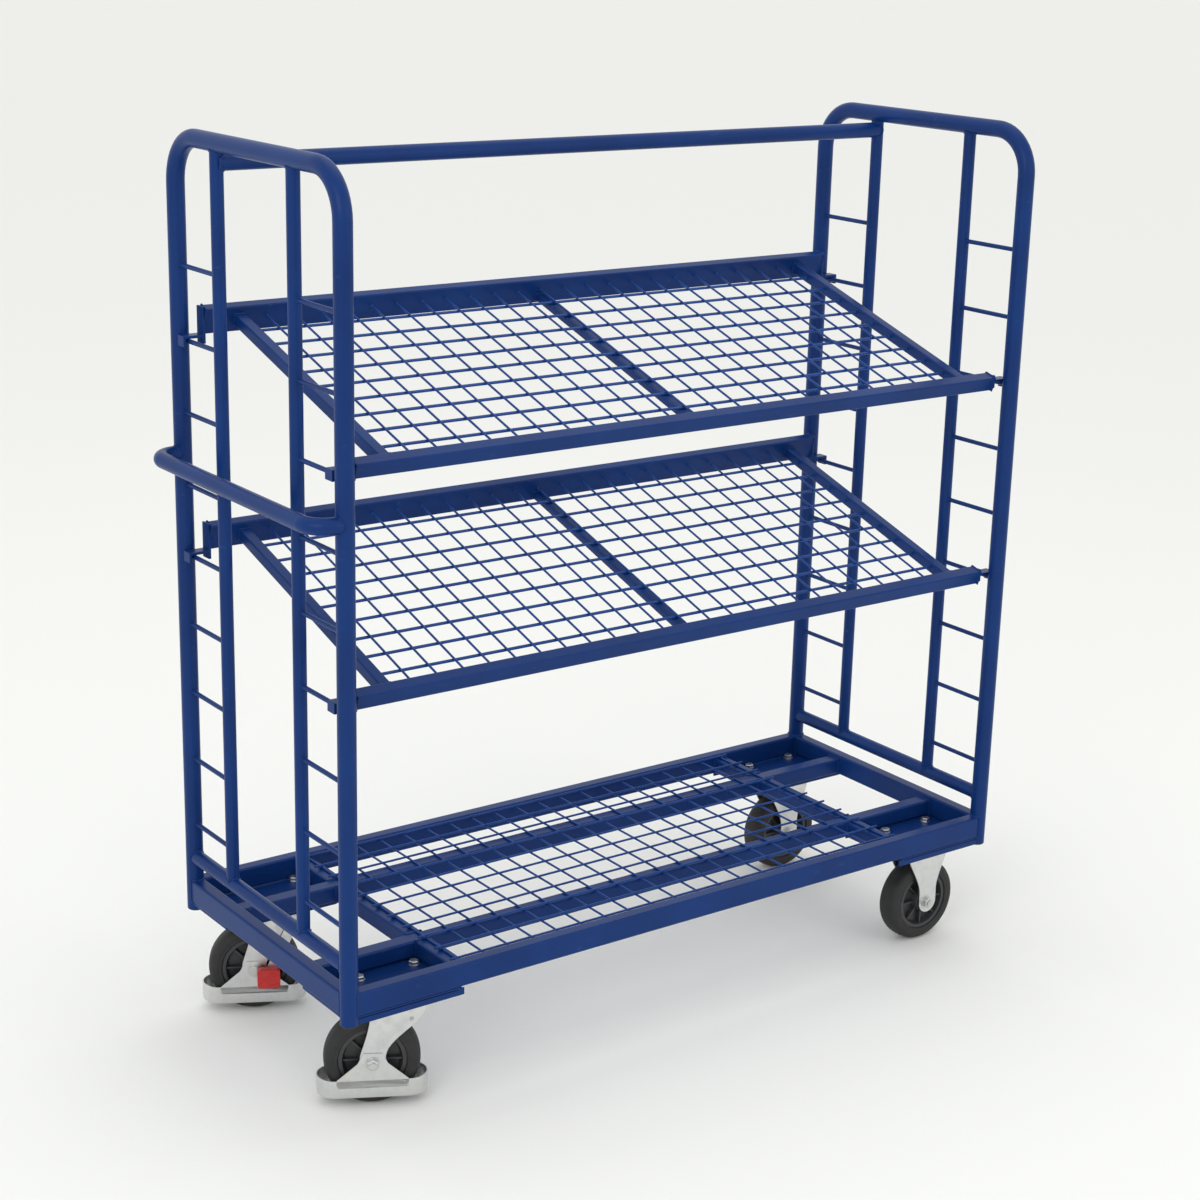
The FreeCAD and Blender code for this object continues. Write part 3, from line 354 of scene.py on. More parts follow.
def oblong(width, height):
    """A rectangular outline as pairs of offsets, eight points to a side."""
    corners = [(-width, -height), (width, -height), (width, height), (-width, height)]
    outline = []
    for start, stop in zip(corners, corners[1:] + corners[:1]):
        for number in range(8):
            share = number / 8
            outline.append(((start[0] + (stop[0] - start[0]) * share) / 2,
                            (start[1] + (stop[1] - start[1]) * share) / 2))
    return outline


def joint(centre, branch, main, outline, radius):
    """The closed line where a bar of that outline meets a round tube that runs along main."""
    branch = Vector(branch)
    main = Vector(main)
    side = branch.cross(main)
    return [
        Vector(centre) + main * up + side * across
        + branch * math.sqrt(max(radius ** 2 - across ** 2, 0.0))
        for up, across in outline
    ]


fine_joints = []
tube_joints = []
for x in ends_x:
    for side in (-1, 1):
        for z in rung_levels:
            fine_joints.append(joint((x, upright_y * side, z), (0, side, 0), (0, 0, 1),
                                     ring(rung_rad), upright_rad))
            fine_joints.append(joint((x, post_y * side, z), (0, -side, 0), (0, 0, 1),
                                     ring(rung_rad), post_rad))
        tube_joints.append(joint((x, upright_y * side, top_z), (0, 0, -1), (0, 1, 0),
                                 ring(upright_rad), post_rad))
        tube_joints.append(joint((x, upright_y * side, cross_z), (0, 0, 1), (0, 1, 0),
                                 ring(upright_rad), cross_rad))
        tube_joints.append(joint((x, post_y * side, cross_z), (0, -side, 0), (0, 0, 1),
                                 ring(cross_rad), post_rad))
for x, inward in zip(ends_x, (1, -1)):
    tube_joints.append(joint((x, upright_y, top_rail_z), (inward, 0, 0), (0, 0, 1),
                             ring(top_rad, 32), upright_rad))
for side in (-1, 1):
    fine_joints.append(joint((ends_x[0], post_y * side, handle_z), (-1, 0, 0), (0, 0, 1),
                             ring(handle_rad, 32), post_rad))
fine_welds = weld_jig.make("fine_welds", centre_lines(fine_joints, True), frame_blue,
                           Bead=0.0012, Step=0.0016)
fit(fine_welds, "trolley", "blue_frame")
tube_welds = weld_jig.make("end_frame_welds", centre_lines(tube_joints, True), frame_blue,
                           Bead=0.0021, Step=0.0020)
fit(tube_welds, "trolley", "blue_frame")


# Plugs in the posts' feet -----------------------------------------------------------------------
# A moulded black plastic plug is pressed in the open foot of each post, with a domed flange.

def turned(name, profile, finish, sides=64):
    """A ring or a solid turned about Y from a closed outline of (radius, y) corners."""
    points = []
    faces = []
    count = len(profile)
    for number in range(sides):
        turn = 2 * math.pi * number / sides
        for radius, y in profile:
            points.append((radius * math.sin(turn), y, radius * math.cos(turn)))
    for number in range(sides):
        here = number * count
        there = (number + 1) % sides * count
        for index in range(count):
            following = (index + 1) % count
            faces.append((here + index, here + following, there + following, there + index))
    return solid(name, points, faces, finish)


def solid(name, points, faces, finish):
    """A mesh piece with its doubles merged and its faces turned outwards."""
    mesh = bpy.data.meshes.new(name)
    mesh.from_pydata([tuple(point) for point in points], [], faces)
    work = bmesh.new()
    work.from_mesh(mesh)
    bmesh.ops.remove_doubles(work, verts=work.verts, dist=0.000005)
    bmesh.ops.dissolve_degenerate(work, edges=work.edges, dist=0.000005)
    bmesh.ops.recalc_face_normals(work, faces=work.faces)
    work.to_mesh(mesh)
    work.free()
    mesh.materials.append(finish)
    piece = bpy.data.objects.new(name, mesh)
    bpy.context.scene.collection.objects.link(piece)
    return piece


def joined(name, pieces):
    """Several finished pieces as one."""
    work = bmesh.new()
    for piece in pieces:
        work.from_mesh(piece.data)
    mesh = bpy.data.meshes.new(name)
    work.to_mesh(mesh)
    work.free()
    for finish in pieces[0].data.materials:
        mesh.materials.append(finish)
    for piece in pieces:
        bpy.data.objects.remove(piece)
    whole = bpy.data.objects.new(name, mesh)
    bpy.context.scene.collection.objects.link(whole)
    return whole


def moved(piece, *steps):
    """Place a piece by moving the points of its mesh."""
    for step in steps:
        piece.data.transform(step)
    return piece


def moulding(name, colour, pale, roughness):
    """Moulded plastic with a fine spark-eroded texture and a little dust."""
    skin = Finish(name)
    texture = skin.grain(2200.0, 2.0)
    dust = ((skin.grain(60.0, 5.0) - 0.5) * 2.5).limited()
    skin.coat({
        "Base Color": skin.blend(dust * 0.5, colour, pale),
        "Roughness": roughness + dust * 0.15 + texture * 0.06,
    })
    skin.bump(texture, 0.15, 0.0002)
    return skin.material


plug_black = moulding("plug_black", (0.012, 0.012, 0.013, 1.0), (0.035, 0.035, 0.036, 1.0), 0.45)
stand_up = Matrix.Rotation(math.radians(90), 4, "X")
plug_outline = [
    (0.0, 0.014), (0.0118, 0.014), (0.0128, 0.012), (0.0133, 0.001), (0.0150, 0.0),
    (0.0150, -0.0012), (0.0140, -0.0024), (0.0110, -0.0030), (0.0, -0.0030),
]
plugs = [
    moved(turned("plug", plug_outline, plug_black, 32), stand_up,
          Matrix.Translation((x, y, foot_z)))
    for x in ends_x for y in (-post_y, post_y)
]
fit(joined("post_foot_plugs", plugs), "trolley", "black_plug", "post_end_caps")


# Base rails, inner rails and cross members ------------------------------------------------------
# The base is a welded ring of rectangular tube, 40 by 25 mm, with two inner rails and two cross
# members of 30 mm square tube. All have the rounded corners of drawn tube.

rail_jig = Jig("drawn_rail", {"Width": "Float", "Height": "Float", "Corner": "Float"})
line = rail_jig.add("GeometryNodeMeshToCurve", {}, {"Mesh": rail_jig.size("Geometry")})
line = rail_jig.add("GeometryNodeSetCurveNormal", {"mode": "Z_UP"}, {"Curve": line})
section = rail_jig.add("GeometryNodeCurvePrimitiveQuadrilateral", {"mode": "RECTANGLE"},
                       {"Width": rail_jig.size("Width"), "Height": rail_jig.size("Height")})
section = rail_jig.add("GeometryNodeFilletCurve", {"mode": "POLY"},
                       {"Curve": section, "Radius": rail_jig.size("Corner"), "Count": 5})
rail_jig.close(rail_jig.add("GeometryNodeCurveToMesh", {},
                            {"Curve": line, "Profile Curve": section, "Fill Caps": True}))

low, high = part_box("front_side_rail")
rail_z = (low.z + high.z) / 2
rail_tall = high.z - low.z
rail_wide = high.y - low.y
side_rails = rail_jig.make(
    "base_side_rails",
    centre_lines([[(ends_x[0], y, rail_z), (ends_x[1], y, rail_z)] for y in (-post_y, post_y)]),
    frame_blue, Width=rail_wide, Height=rail_tall, Corner=0.004)
fit(side_rails, "trolley", "blue_frame", "front_side_rail", "rear_side_rail")
end_rails = rail_jig.make(
    "base_end_rails",
    centre_lines([[(x, -post_y, rail_z), (x, post_y, rail_z)] for x in ends_x]),
    frame_blue, Width=rail_wide, Height=rail_tall, Corner=0.004)
fit(end_rails, "trolley", "blue_frame", "left_end_rail", "right_end_rail")

low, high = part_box("inner_rails")
inner_side = high.z - low.z
inner_z = (low.z + high.z) / 2
inner_y = high.y - inner_side / 2
inner_reach = (low.x, high.x)
inner_tubes = rail_jig.make(
    "inner_base_rails",
    centre_lines([[(inner_reach[0], y, inner_z), (inner_reach[1], y, inner_z)]
                  for y in (-inner_y, inner_y)]),
    frame_blue, Width=inner_side, Height=inner_side, Corner=0.004)
fit(inner_tubes, "trolley", "blue_frame", "inner_rails")

low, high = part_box("cross_members")
member_x = (low.x + inner_side / 2, high.x - inner_side / 2)
member_ends = (
    (low.y, -inner_y - inner_side / 2), (-inner_y + inner_side / 2, inner_y - inner_side / 2),
    (inner_y + inner_side / 2, high.y),
)
member_tubes = rail_jig.make(
    "base_cross_members",
    centre_lines([[(x, start, inner_z), (x, stop, inner_z)]
                  for x in member_x for start, stop in member_ends]),
    frame_blue, Width=inner_side, Height=inner_side, Corner=0.004)
fit(member_tubes, "trolley", "blue_frame", "cross_members")

base_joints = []
for x, inward in zip(ends_x, (1, -1)):
    for side in (-1, 1):
        post = (x, post_y * side, rail_z)
        outline = oblong(rail_tall, rail_wide)
        base_joints.append(joint(post, (inward, 0, 0), (0, 0, 1), outline, post_rad))
        base_joints.append(joint(post, (0, -side, 0), (0, 0, 1), outline, post_rad))
square = oblong(inner_side, inner_side)
for side in (-1, 1):
    for x in inner_reach:
        base_joints.append([(x, inner_y * side + across, inner_z + up) for up, across in square])
for x in member_x:
    for span in member_ends:
        for y in span:
            base_joints.append([(x + across, y, inner_z + up) for up, across in square])
base_welds = weld_jig.make("base_welds", centre_lines(base_joints, True), frame_blue,
                           Bead=0.0022, Step=0.0022)
fit(base_welds, "trolley", "blue_frame")


# Castor corner plates ---------------------------------------------------------------------------
# A 6 mm steel plate is welded under each corner of the base to carry a castor. Its outer edge is
# folded down, and its corners are rounded.

def rounded(corners, radius, steps=5):
    """An outline with each corner rounded to a radius."""
    outline = []
    for index, corner in enumerate(corners):
        here = Vector(corner)
        before = (Vector(corners[index - 1]) - here).normalized()
        after = (Vector(corners[(index + 1) % len(corners)]) - here).normalized()
        half = before.angle(after) / 2
        centre = here + (before + after).normalized() * radius / math.sin(half)
        start = here + before * radius / math.tan(half) - centre
        stop = here + after * radius / math.tan(half) - centre
        for number in range(steps + 1):
            share = number / steps
            spoke = start.lerp(stop, share).normalized() * radius
            outline.append(tuple(centre + spoke))
    return outline


def softened(piece, edge):
    """Break a piece's sharp edges as pressing, painting or plating does."""
    soft = piece.modifiers.new("soft_edges", "BEVEL")
    soft.width = edge
    soft.segments = 2
    soft.limit_method = "ANGLE"
    soft.angle_limit = math.radians(40)
    return baked(piece)


def plate(name, outline, low_z, high_z, finish, edge=0.0007):
    """A flat plate cut to an outline in X and Y."""
    count = len(outline)
    points = [(x, y, z) for z in (low_z, high_z) for x, y in outline]
    faces = [tuple(range(count)), tuple(range(count, count * 2))]
    for index in range(count):
        following = (index + 1) % count
        faces.append((index, following, count + following, count + index))
    return softened(solid(name, points, faces, finish), edge)


def corner_plate(side_x, side_y, low, high):
    """A corner plate with its folded outer edge, between the corners of its own box."""
    inner_x, outer_x = (high.x, low.x) if side_x < 0 else (low.x, high.x)
    edge_y = high.y
    flat_y = edge_y - 0.153
    corners = [
        (inner_x, flat_y), (outer_x, flat_y), (outer_x, edge_y), (inner_x, edge_y)]
    top = high.z
    flat = plate("flat", [(x, y * side_y) for x, y in rounded(corners, 0.012)],
                 top - 0.006, top, frame_blue, 0.0012)
    fold = plate("fold", [(x, y * side_y) for x, y in rounded(
        [(inner_x, edge_y - 0.003), (outer_x, edge_y - 0.003), (outer_x, edge_y),
         (inner_x, edge_y)], 0.0012, 2)], low.z, top - 0.003, frame_blue, 0.0006)
    return [flat, fold]


corner_pieces = []
corner_seams = []
for node, side_x in (("left_corner_plates", -1), ("right_corner_plates", 1)):
    low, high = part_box(node)
    half = 0.110
    middle = (low.x + high.x) / 2
    low.x, high.x = middle - half, middle + half
    for side_y in (-1, 1):
        corner_pieces += corner_plate(side_x, side_y, low, high)
        rail_edge = (post_y - rail_wide / 2) * side_y
        start_x = ends_x[0 if side_x < 0 else 1] - side_x * 0.030
        stop_x = middle - side_x * 0.105
        corner_seams.append([(start_x, rail_edge, high.z), (stop_x, rail_edge, high.z)])
corners = joined("castor_corner_plates", corner_pieces)
fit(corners, "trolley", "blue_frame", "left_corner_plates", "right_corner_plates")
seams = weld_jig.make("corner_plate_welds", centre_lines(corner_seams), frame_blue,
                      Bead=0.0024, Step=0.0024)
fit(seams, "trolley", "blue_frame")


# Deck mesh --------------------------------------------------------------------------------------
# The deck is welded wire mesh of 4 mm wire at 50 mm, cross wires below and long wires on top,
# laid on the cross members and tacked to the rails at every wire end.

mesh_blue = powder_coat("mesh_blue", (0.009, 0.040, 0.185, 1.0), (0.015, 0.065, 0.260, 1.0))
wire_rad = 0.002
mesh_pitch = 0.05

mesh_jig = Jig("wire_mesh", {
    "Long Wires": "Int", "Long Length": "Float", "Cross Wires": "Int", "Cross Length": "Float",
    "Pitch": "Float", "Wire": "Float", "Lift": "Float",
})
quarter_turn = math.pi / 2
sheets = []
for count, length, side in (("Long Wires", "Long Length", 1), ("Cross Wires", "Cross Length", -1)):
    number = mesh_jig.size(count)
    start = (number - 1.0) * mesh_jig.size("Pitch") * -0.5
    step = mesh_jig.add("ShaderNodeCombineXYZ", {}, {
        ("Y" if side > 0 else "X"): mesh_jig.size("Pitch")})
    origin = mesh_jig.add("ShaderNodeCombineXYZ", {}, {
        ("Y" if side > 0 else "X"): start, "Z": mesh_jig.size("Lift") * side})
    row = mesh_jig.add("GeometryNodeMeshLine", {"mode": "OFFSET"},
                       {"Count": number, "Start Location": origin, "Offset": step})
    wire = mesh_jig.add("GeometryNodeMeshCylinder", {"fill_type": "NGON"}, {
        "Vertices": 10, "Radius": mesh_jig.size("Wire"), "Depth": mesh_jig.size(length)})
    turn = (0.0, quarter_turn, 0.0) if side > 0 else (quarter_turn, 0.0, 0.0)
    wire = mesh_jig.add("GeometryNodeTransform", {}, {"Geometry": wire, "Rotation": turn})
    sheets.append(mesh_jig.add("GeometryNodeInstanceOnPoints", {},
                               {"Points": row, "Instance": wire}))
both = mesh_jig.tree.nodes.new("GeometryNodeJoinGeometry")
for wires in sheets:
    mesh_jig.feed(both.inputs["Geometry"], wires)
mesh_jig.close(Link(mesh_jig, both.outputs[0]))

tack_jig = Jig("tack_welds", {"Size": "Float"})
blob = tack_jig.add("GeometryNodeMeshUVSphere", {},
                    {"Segments": 8, "Rings": 5, "Radius": tack_jig.size("Size")})
spread = tack_jig.add("FunctionNodeRandomValue", {"data_type": "FLOAT"},
                      {2: 0.8, 3: 1.15, "Seed": 11}, 1)
tack_jig.close(tack_jig.add("GeometryNodeInstanceOnPoints", {}, {
    "Points": tack_jig.size("Geometry"), "Instance": blob, "Scale": spread}))


def spots(points):
    """A base mesh of loose points for the jigs that repeat a part."""
    mesh = bpy.data.meshes.new("spots")
    mesh.from_pydata([tuple(point) for point in points], [], [])
    return mesh


def mesh_offsets(count):
    return [mesh_pitch * (number - (count - 1) / 2) for number in range(count)]


low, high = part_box("deck_mesh")
middle_x = (low.x + high.x) / 2
deck_z = (low.z + high.z) / 2
deck_reach_x = (high.x - low.x) / 2
deck_reach_y = (high.y - low.y) / 2
deck = mesh_jig.make("deck_wire_mesh", spots([]), mesh_blue, **{
    "Long Wires": 11, "Long Length": deck_reach_x * 2, "Cross Wires": 20,
    "Cross Length": deck_reach_y * 2, "Pitch": mesh_pitch, "Wire": wire_rad,
    "Lift": wire_rad * 0.99})
moved(deck, Matrix.Translation((middle_x, 0, deck_z)))
fit(deck, "trolley", "blue_mesh", "deck_mesh")
deck_spots = [
    (middle_x + x, deck_reach_y * side, deck_z - wire_rad)
    for x in mesh_offsets(20) for side in (-1, 1)
]
deck_spots += [
    (x, y, deck_z - wire_rad * 0.2) for x in member_x for y in mesh_offsets(11)
]
deck_tacks = tack_jig.make("deck_tack_welds", spots(deck_spots), mesh_blue, Size=0.0034)
fit(deck_tacks, "trolley", "blue_mesh")


# Castor top plates, bolts and nuts --------------------------------------------------------------
# Each castor hangs from a zinc plated plate with four M10 bolts. The heads sit on the corner
# plate with a washer, and the nuts are below, on the last turns of thread.

def zinc_plate(name, tone, roughness, rolled=(1.0, 1.0, 1.0)):
    """Bright zinc plating: rolled grain, and a faint blue and straw cast."""
    skin = Finish(name)
    cast = skin.grain(24.0, 3.0)
    roll = skin.grain(420.0, 3.0, rolled)
    smear = ((skin.grain(70.0, 5.0) - 0.45) * 3.0).limited()
    cool = tuple(tone * part for part in (0.93, 0.98, 1.04)) + (1.0,)
    straw = tuple(tone * part for part in (1.03, 1.0, 0.92)) + (1.0,)
    dull = tuple(tone * part for part in (0.72, 0.73, 0.75)) + (1.0,)
    colour = skin.blend(cast, cool, straw)
    skin.coat({
        "Base Color": skin.blend(smear * 0.45, colour, dull),
        "Metallic": 1.0 - smear * 0.12,
        "Roughness": roughness + smear * 0.14 + roll * 0.08,
    })
    skin.bump(roll, 0.12, 0.0002)
    return skin.material


sheet_zinc = zinc_plate("sheet_zinc", 0.68, 0.28, (1.0, 1.0, 0.08))
bolt_zinc = zinc_plate("bolt_zinc", 0.60, 0.30)
ground_steel = zinc_plate("ground_steel", 0.74, 0.14)

low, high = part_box("swivel_top_plates")
plate_low, plate_high = high.z - 0.005, high.z
bracket_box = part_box("front_right_bracket")
bracket_x = (bracket_box[0].x + bracket_box[1].x) / 2
swivel_spots = {
    joint_data["name"].replace("_swivel", ""): Vector(joint_data["pos_m"])
    for joint_data in frame["joints"] if joint_data["name"].endswith("_swivel")
}
castor_y = swivel_spots["rear_left"].y
castor_spots = dict(swivel_spots)
for name, side in (("front_right", -1), ("rear_right", 1)):
    castor_spots[name] = Vector((bracket_x, castor_y * side, 0.0))


def castor_plate(spot):
    """A flat top plate with rounded corners, moved to a castor's spot."""
    outline = rounded([(-0.0675, -0.055), (0.0675, -0.055), (0.0675, 0.055), (-0.0675, 0.055)],
                      0.010)
    flat = plate("flat", outline, plate_low, plate_high, sheet_zinc, 0.0009)
    return moved(flat, Matrix.Translation((spot.x, spot.y, 0)))


race_outline = [
    (0.022, 0.0002), (0.022, -0.0034), (0.0245, -0.0040), (0.0355, -0.0040), (0.038, -0.0030),
    (0.038, 0.0002),
]
top_plates = []
for spot in swivel_spots.values():
    top_plates.append(castor_plate(spot))
    race = turned("race", race_outline, sheet_zinc)
    top_plates.append(moved(race, stand_up, Matrix.Translation((spot.x, spot.y, plate_low))))
fit(joined("castor_top_plates", top_plates), "trolley", "zinc_sheet", "swivel_top_plates")

bolt_jig = Jig("hex_fastener", {
    "Corner": "Float", "Height": "Float", "Washer": "Float", "Thread": "Float", "Reach": "Float",
    "Tilt": "Float",
})


def hex_layer(kind, sockets, level):
    """One turned or hexagonal layer of a fastener, with its middle at a level."""
    shape = bolt_jig.add(kind, {"fill_type": "NGON"}, sockets)
    rise = bolt_jig.add("ShaderNodeCombineXYZ", {}, {"Z": level})
    return bolt_jig.add("GeometryNodeTransform", {}, {"Geometry": shape, "Translation": rise})


corner = bolt_jig.size("Corner")
height = bolt_jig.size("Height")
washer = 0.0016
both = bolt_jig.tree.nodes.new("GeometryNodeJoinGeometry")
for layer in (
    hex_layer("GeometryNodeMeshCylinder",
              {"Vertices": 24, "Radius": bolt_jig.size("Washer"), "Depth": washer}, washer / 2),
    hex_layer("GeometryNodeMeshCylinder",
              {"Vertices": 6, "Radius": corner, "Depth": height * 0.8}, height * 0.4 + washer),
    hex_layer("GeometryNodeMeshCone",
              {"Vertices": 6, "Radius Top": corner * 0.84, "Radius Bottom": corner,
               "Depth": height * 0.2}, height * 0.8 + washer),
    hex_layer("GeometryNodeMeshCylinder",
              {"Vertices": 20, "Radius": bolt_jig.size("Thread"),
               "Depth": bolt_jig.size("Reach")}, bolt_jig.size("Reach") / 2),
):
    bolt_jig.feed(both.inputs["Geometry"], layer)
wander = bolt_jig.add("FunctionNodeRandomValue", {"data_type": "FLOAT"},
                      {2: 0.0, 3: math.radians(60), "Seed": 5}, 1)
tilt = bolt_jig.size("Tilt")
aim = bolt_jig.add("ShaderNodeCombineXYZ", {}, {
    "X": tilt, "Y": wander * tilt.maths("SINE", tilt), "Z": wander * tilt.maths("COSINE", tilt)})
bolt_jig.close(bolt_jig.add("GeometryNodeInstanceOnPoints", {}, {
    "Points": bolt_jig.size("Geometry"), "Instance": Link(bolt_jig, both.outputs[0]),
    "Rotation": aim}))

corner_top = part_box("left_corner_plates")[1].z
bolt_spots = [
    (spot.x + 0.0525 * i, spot.y + 0.040 * j)
    for spot in castor_spots.values() for i in (-1, 1) for j in (-1, 1)
]
heads = bolt_jig.make(
    "castor_bolt_heads", spots([(x, y, corner_top) for x, y in bolt_spots]), bolt_zinc,
    Corner=0.0092, Height=0.0064, Washer=0.0102, Thread=0.0042, Reach=0.004, Tilt=0.0)
fit(heads, "trolley", "zinc_fastener", "castor_bolts")
nuts = bolt_jig.make(
    "castor_nuts_below", spots([(x, y, plate_low) for x, y in bolt_spots]), bolt_zinc,
    Corner=0.0092, Height=0.0064, Washer=0.0102, Thread=0.0049, Reach=0.012, Tilt=math.pi)
fit(nuts, "trolley", "zinc_fastener", "castor_nuts")

for node in ("swivel_kingpins", "swivel_balls"):
    for place in frame["nodes"][node].material_slots:
        place.material = ground_steel


# Forks and brackets -----------------------------------------------------------------------------
# Forks and brackets are pressed from 3 mm zinc plated sheet: a crown over the wheel, a bend on
# each side, and two legs that narrow to the axle, each with a stiffening rib.

axle_z = 0.080
fork_wall = 0.003
leg_half_gap = 0.030


def eased(start, stop, share):
    """A smooth step from start to stop as the share goes from 0 to 1."""
    share = min(max(share, 0.0), 1.0)
    return start + (stop - start) * share * share * (3 - 2 * share)


def folded(name, rows, thick, finish, ring_shaped=False, edge=0.0007):
    """A pressed sheet: rows of points on its outer face, given a wall inwards."""
    across = len(rows[0])
    points = [Vector(point) for row in rows for point in row]
    faces = []
    for number in range(len(rows) if ring_shaped else len(rows) - 1):
        here = number * across
        there = (number + 1) % len(rows) * across
        for index in range(across - 1):
            faces.append((here + index, here + index + 1, there + index + 1, there + index))
    sheet = solid(name, points, faces, finish)
    middle = sum(points, Vector()) / len(points)
    outward = sum((face.center - middle).dot(face.normal) * face.area
                  for face in sheet.data.polygons)
    if outward < 0:
        sheet.data.flip_normals()
    wall = sheet.modifiers.new("wall", "SOLIDIFY")
    wall.thickness = thick
    wall.offset = -1
    wall.use_even_offset = True
    return softened(sheet, edge)


def fork_sheet(name, crown, lean, half_top, waist, round_end):
    """A folded fork whose legs lean by lean at the axle and end in a round of that radius."""
    half = leg_half_gap
    bend = 0.009
    columns = 14
    rib_high = 0.0018
    leg_start = axle_z + 0.006
    stations = []
    for turn in (-88, -75, -60, -44, -27, -10, 8):
        angle = math.radians(turn)
        stations.append((axle_z + round_end * math.sin(angle), lean,
                         round_end * math.cos(angle), 0.0))
    leg_top = crown - bend
    for step in range(1, 15):
        share = step / 14
        z = leg_start + (leg_top - leg_start) * share
        width = eased(waist, half_top, (share - 0.15) / 0.85)
        rib = rib_high * math.sin(math.pi * min(max((share - 0.28) / 0.62, 0), 1)) ** 0.5
        stations.append((z, lean * (1 - eased(0, 1, share)) - fork_wall * share, width, rib))
    path = []
    for z, middle, width, rib in stations:
        path.append((-half, z, middle, width, rib))
    for step in range(1, 6):
        angle = math.radians(18 * step)
        path.append((-half + bend * (1 - math.cos(angle)), leg_top + bend * math.sin(angle),
                     -fork_wall, half_top, 0.0))
    for step in range(1, 6):
        path.append((-half + bend + (half - bend) * step / 5, crown, -fork_wall, half_top, 0.0))
    path += [(-y, z, middle, width, rib) for y, z, middle, width, rib in reversed(path[:-1])]
    rows = []
    for y, z, middle, width, rib in path:
        row = []
        for column in range(columns + 1):
            across = 2 * column / columns - 1
            swell = rib * max(math.cos(across * math.pi / 1.1), 0.0) ** 0.7
            row.append((middle + width * across, y + math.copysign(swell, y), z))
        rows.append(row)
    return folded(name, rows, fork_wall, sheet_zinc)


castor_turn = {}
for name in swivel_spots:
    low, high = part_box(f"{name}_tyre")
    wheel = (low + high) / 2
    back = wheel - swivel_spots[name]
    castor_turn[name] = math.atan2(-back.y, -back.x)


def castor_place(name):
    """The matrix that stands a castor part, drawn about its own axis, in its place."""
    spot = castor_spots[name]
    return (Matrix.Translation((spot.x, spot.y, 0))
            @ Matrix.Rotation(castor_turn.get(name, 0.0), 4, "Z"))


trail = 0.045
crown_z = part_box("front_left_fork")[1].z
for name in swivel_spots:
    sheet = fork_sheet("sheet", crown_z, -trail, 0.045, 0.021, 0.022)
    dome = turned("dome", [
        (0.007, 0.0), (0.019, 0.0002), (0.0225, 0.0024), (0.0375, 0.0024), (0.0405, 0.0002),
        (0.045, -0.0004), (0.045, -0.003), (0.007, -0.003)], sheet_zinc)
    moved(dome, stand_up, Matrix.Translation((0, 0, crown_z)))
    fork = moved(joined(f"{name}_pressed_fork", [sheet, dome]), castor_place(name))
    fit(fork, f"{name}_castor", "zinc_sheet", f"{name}_fork")

for name in ("front_right", "rear_right"):
    legs = moved(fork_sheet("legs", plate_low, 0.003, 0.050, 0.021, 0.021),
                 castor_place(name))
    flat = castor_plate(castor_spots[name])
    fit(joined(f"{name}_pressed_bracket", [legs, flat]), "trolley", "zinc_sheet",
        f"{name}_bracket")


# Wheels -----------------------------------------------------------------------------------------
# A solid black rubber tyre is moulded on a plastic wheel body with eight ribs a side, which
# turns on a roller bearing pressed in its hub.

def rubber(name):
    """Solid black rubber: matt, with fine mould grain and a dusty bloom."""
    skin = Finish(name)
    fine = skin.grain(1500.0, 3.0)
    bloom = ((skin.grain(45.0, 6.0) - 0.42) * 2.2).limited()
    skin.coat({
        "Base Color": skin.blend(bloom, (0.010, 0.010, 0.011, 1.0), (0.030, 0.029, 0.028, 1.0)),
        "Roughness": 0.58 + bloom * 0.22 + fine * 0.08,
    })
    skin.bump(fine, 0.25, 0.0003)
    return skin.material


tyre_black = rubber("tyre_black")
wheel_grey = moulding("wheel_grey", (0.030, 0.031, 0.034, 1.0), (0.075, 0.075, 0.078, 1.0), 0.40)

half_tyre = [
    (0.0560, 0.0195), (0.0575, 0.0218), (0.0600, 0.0225), (0.0615, 0.0219), (0.0630, 0.0219),
    (0.0645, 0.0225), (0.0690, 0.0222), (0.0730, 0.0207), (0.0762, 0.0180), (0.0784, 0.0140),
    (0.0796, 0.0090), (0.0800, 0.0040),
]
tyre_outline = [(r, -y) for r, y in half_tyre] + [(r, y) for r, y in reversed(half_tyre)]
half_hub = [
    (0.0560, 0.0195), (0.0500, 0.0195), (0.0490, 0.0185), (0.0475, 0.0100), (0.0455, 0.0075),
    (0.0235, 0.0075), (0.0222, 0.0095), (0.0205, 0.0235), (0.0195, 0.0248), (0.0110, 0.0250),
]
hub_outline = [(r, y) for r, y in half_hub] + [(r, -y) for r, y in reversed(half_hub)]
bearing_outline = [
    (0.0110, 0.0242), (0.0104, 0.0249), (0.0086, 0.0249), (0.00806, 0.0242),
    (0.00806, -0.0242), (0.0086, -0.0249), (0.0104, -0.0249), (0.0110, -0.0242),
]

rib_jig = Jig("wheel_ribs", {
    "Count": "Int", "Length": "Float", "Width": "Float", "Thickness": "Float", "Middle": "Float",
})
shape = rib_jig.add("ShaderNodeCombineXYZ", {}, {
    "X": rib_jig.size("Length"), "Y": rib_jig.size("Width"), "Z": rib_jig.size("Thickness")})
rib = rib_jig.add("GeometryNodeMeshCube", {}, {"Size": shape})
shift = rib_jig.add("ShaderNodeCombineXYZ", {}, {"X": rib_jig.size("Middle")})
rib = rib_jig.add("GeometryNodeTransform", {}, {"Geometry": rib, "Translation": shift})
places = rib_jig.add("GeometryNodePoints", {}, {"Count": rib_jig.size("Count")})
turn = rib_jig.add("GeometryNodeInputIndex", {}, {}) / rib_jig.size("Count") * (2 * math.pi)
aim = rib_jig.add("ShaderNodeCombineXYZ", {}, {"Y": turn})
rib_jig.close(rib_jig.add("GeometryNodeInstanceOnPoints", {},
                          {"Points": places, "Instance": rib, "Rotation": aim}))

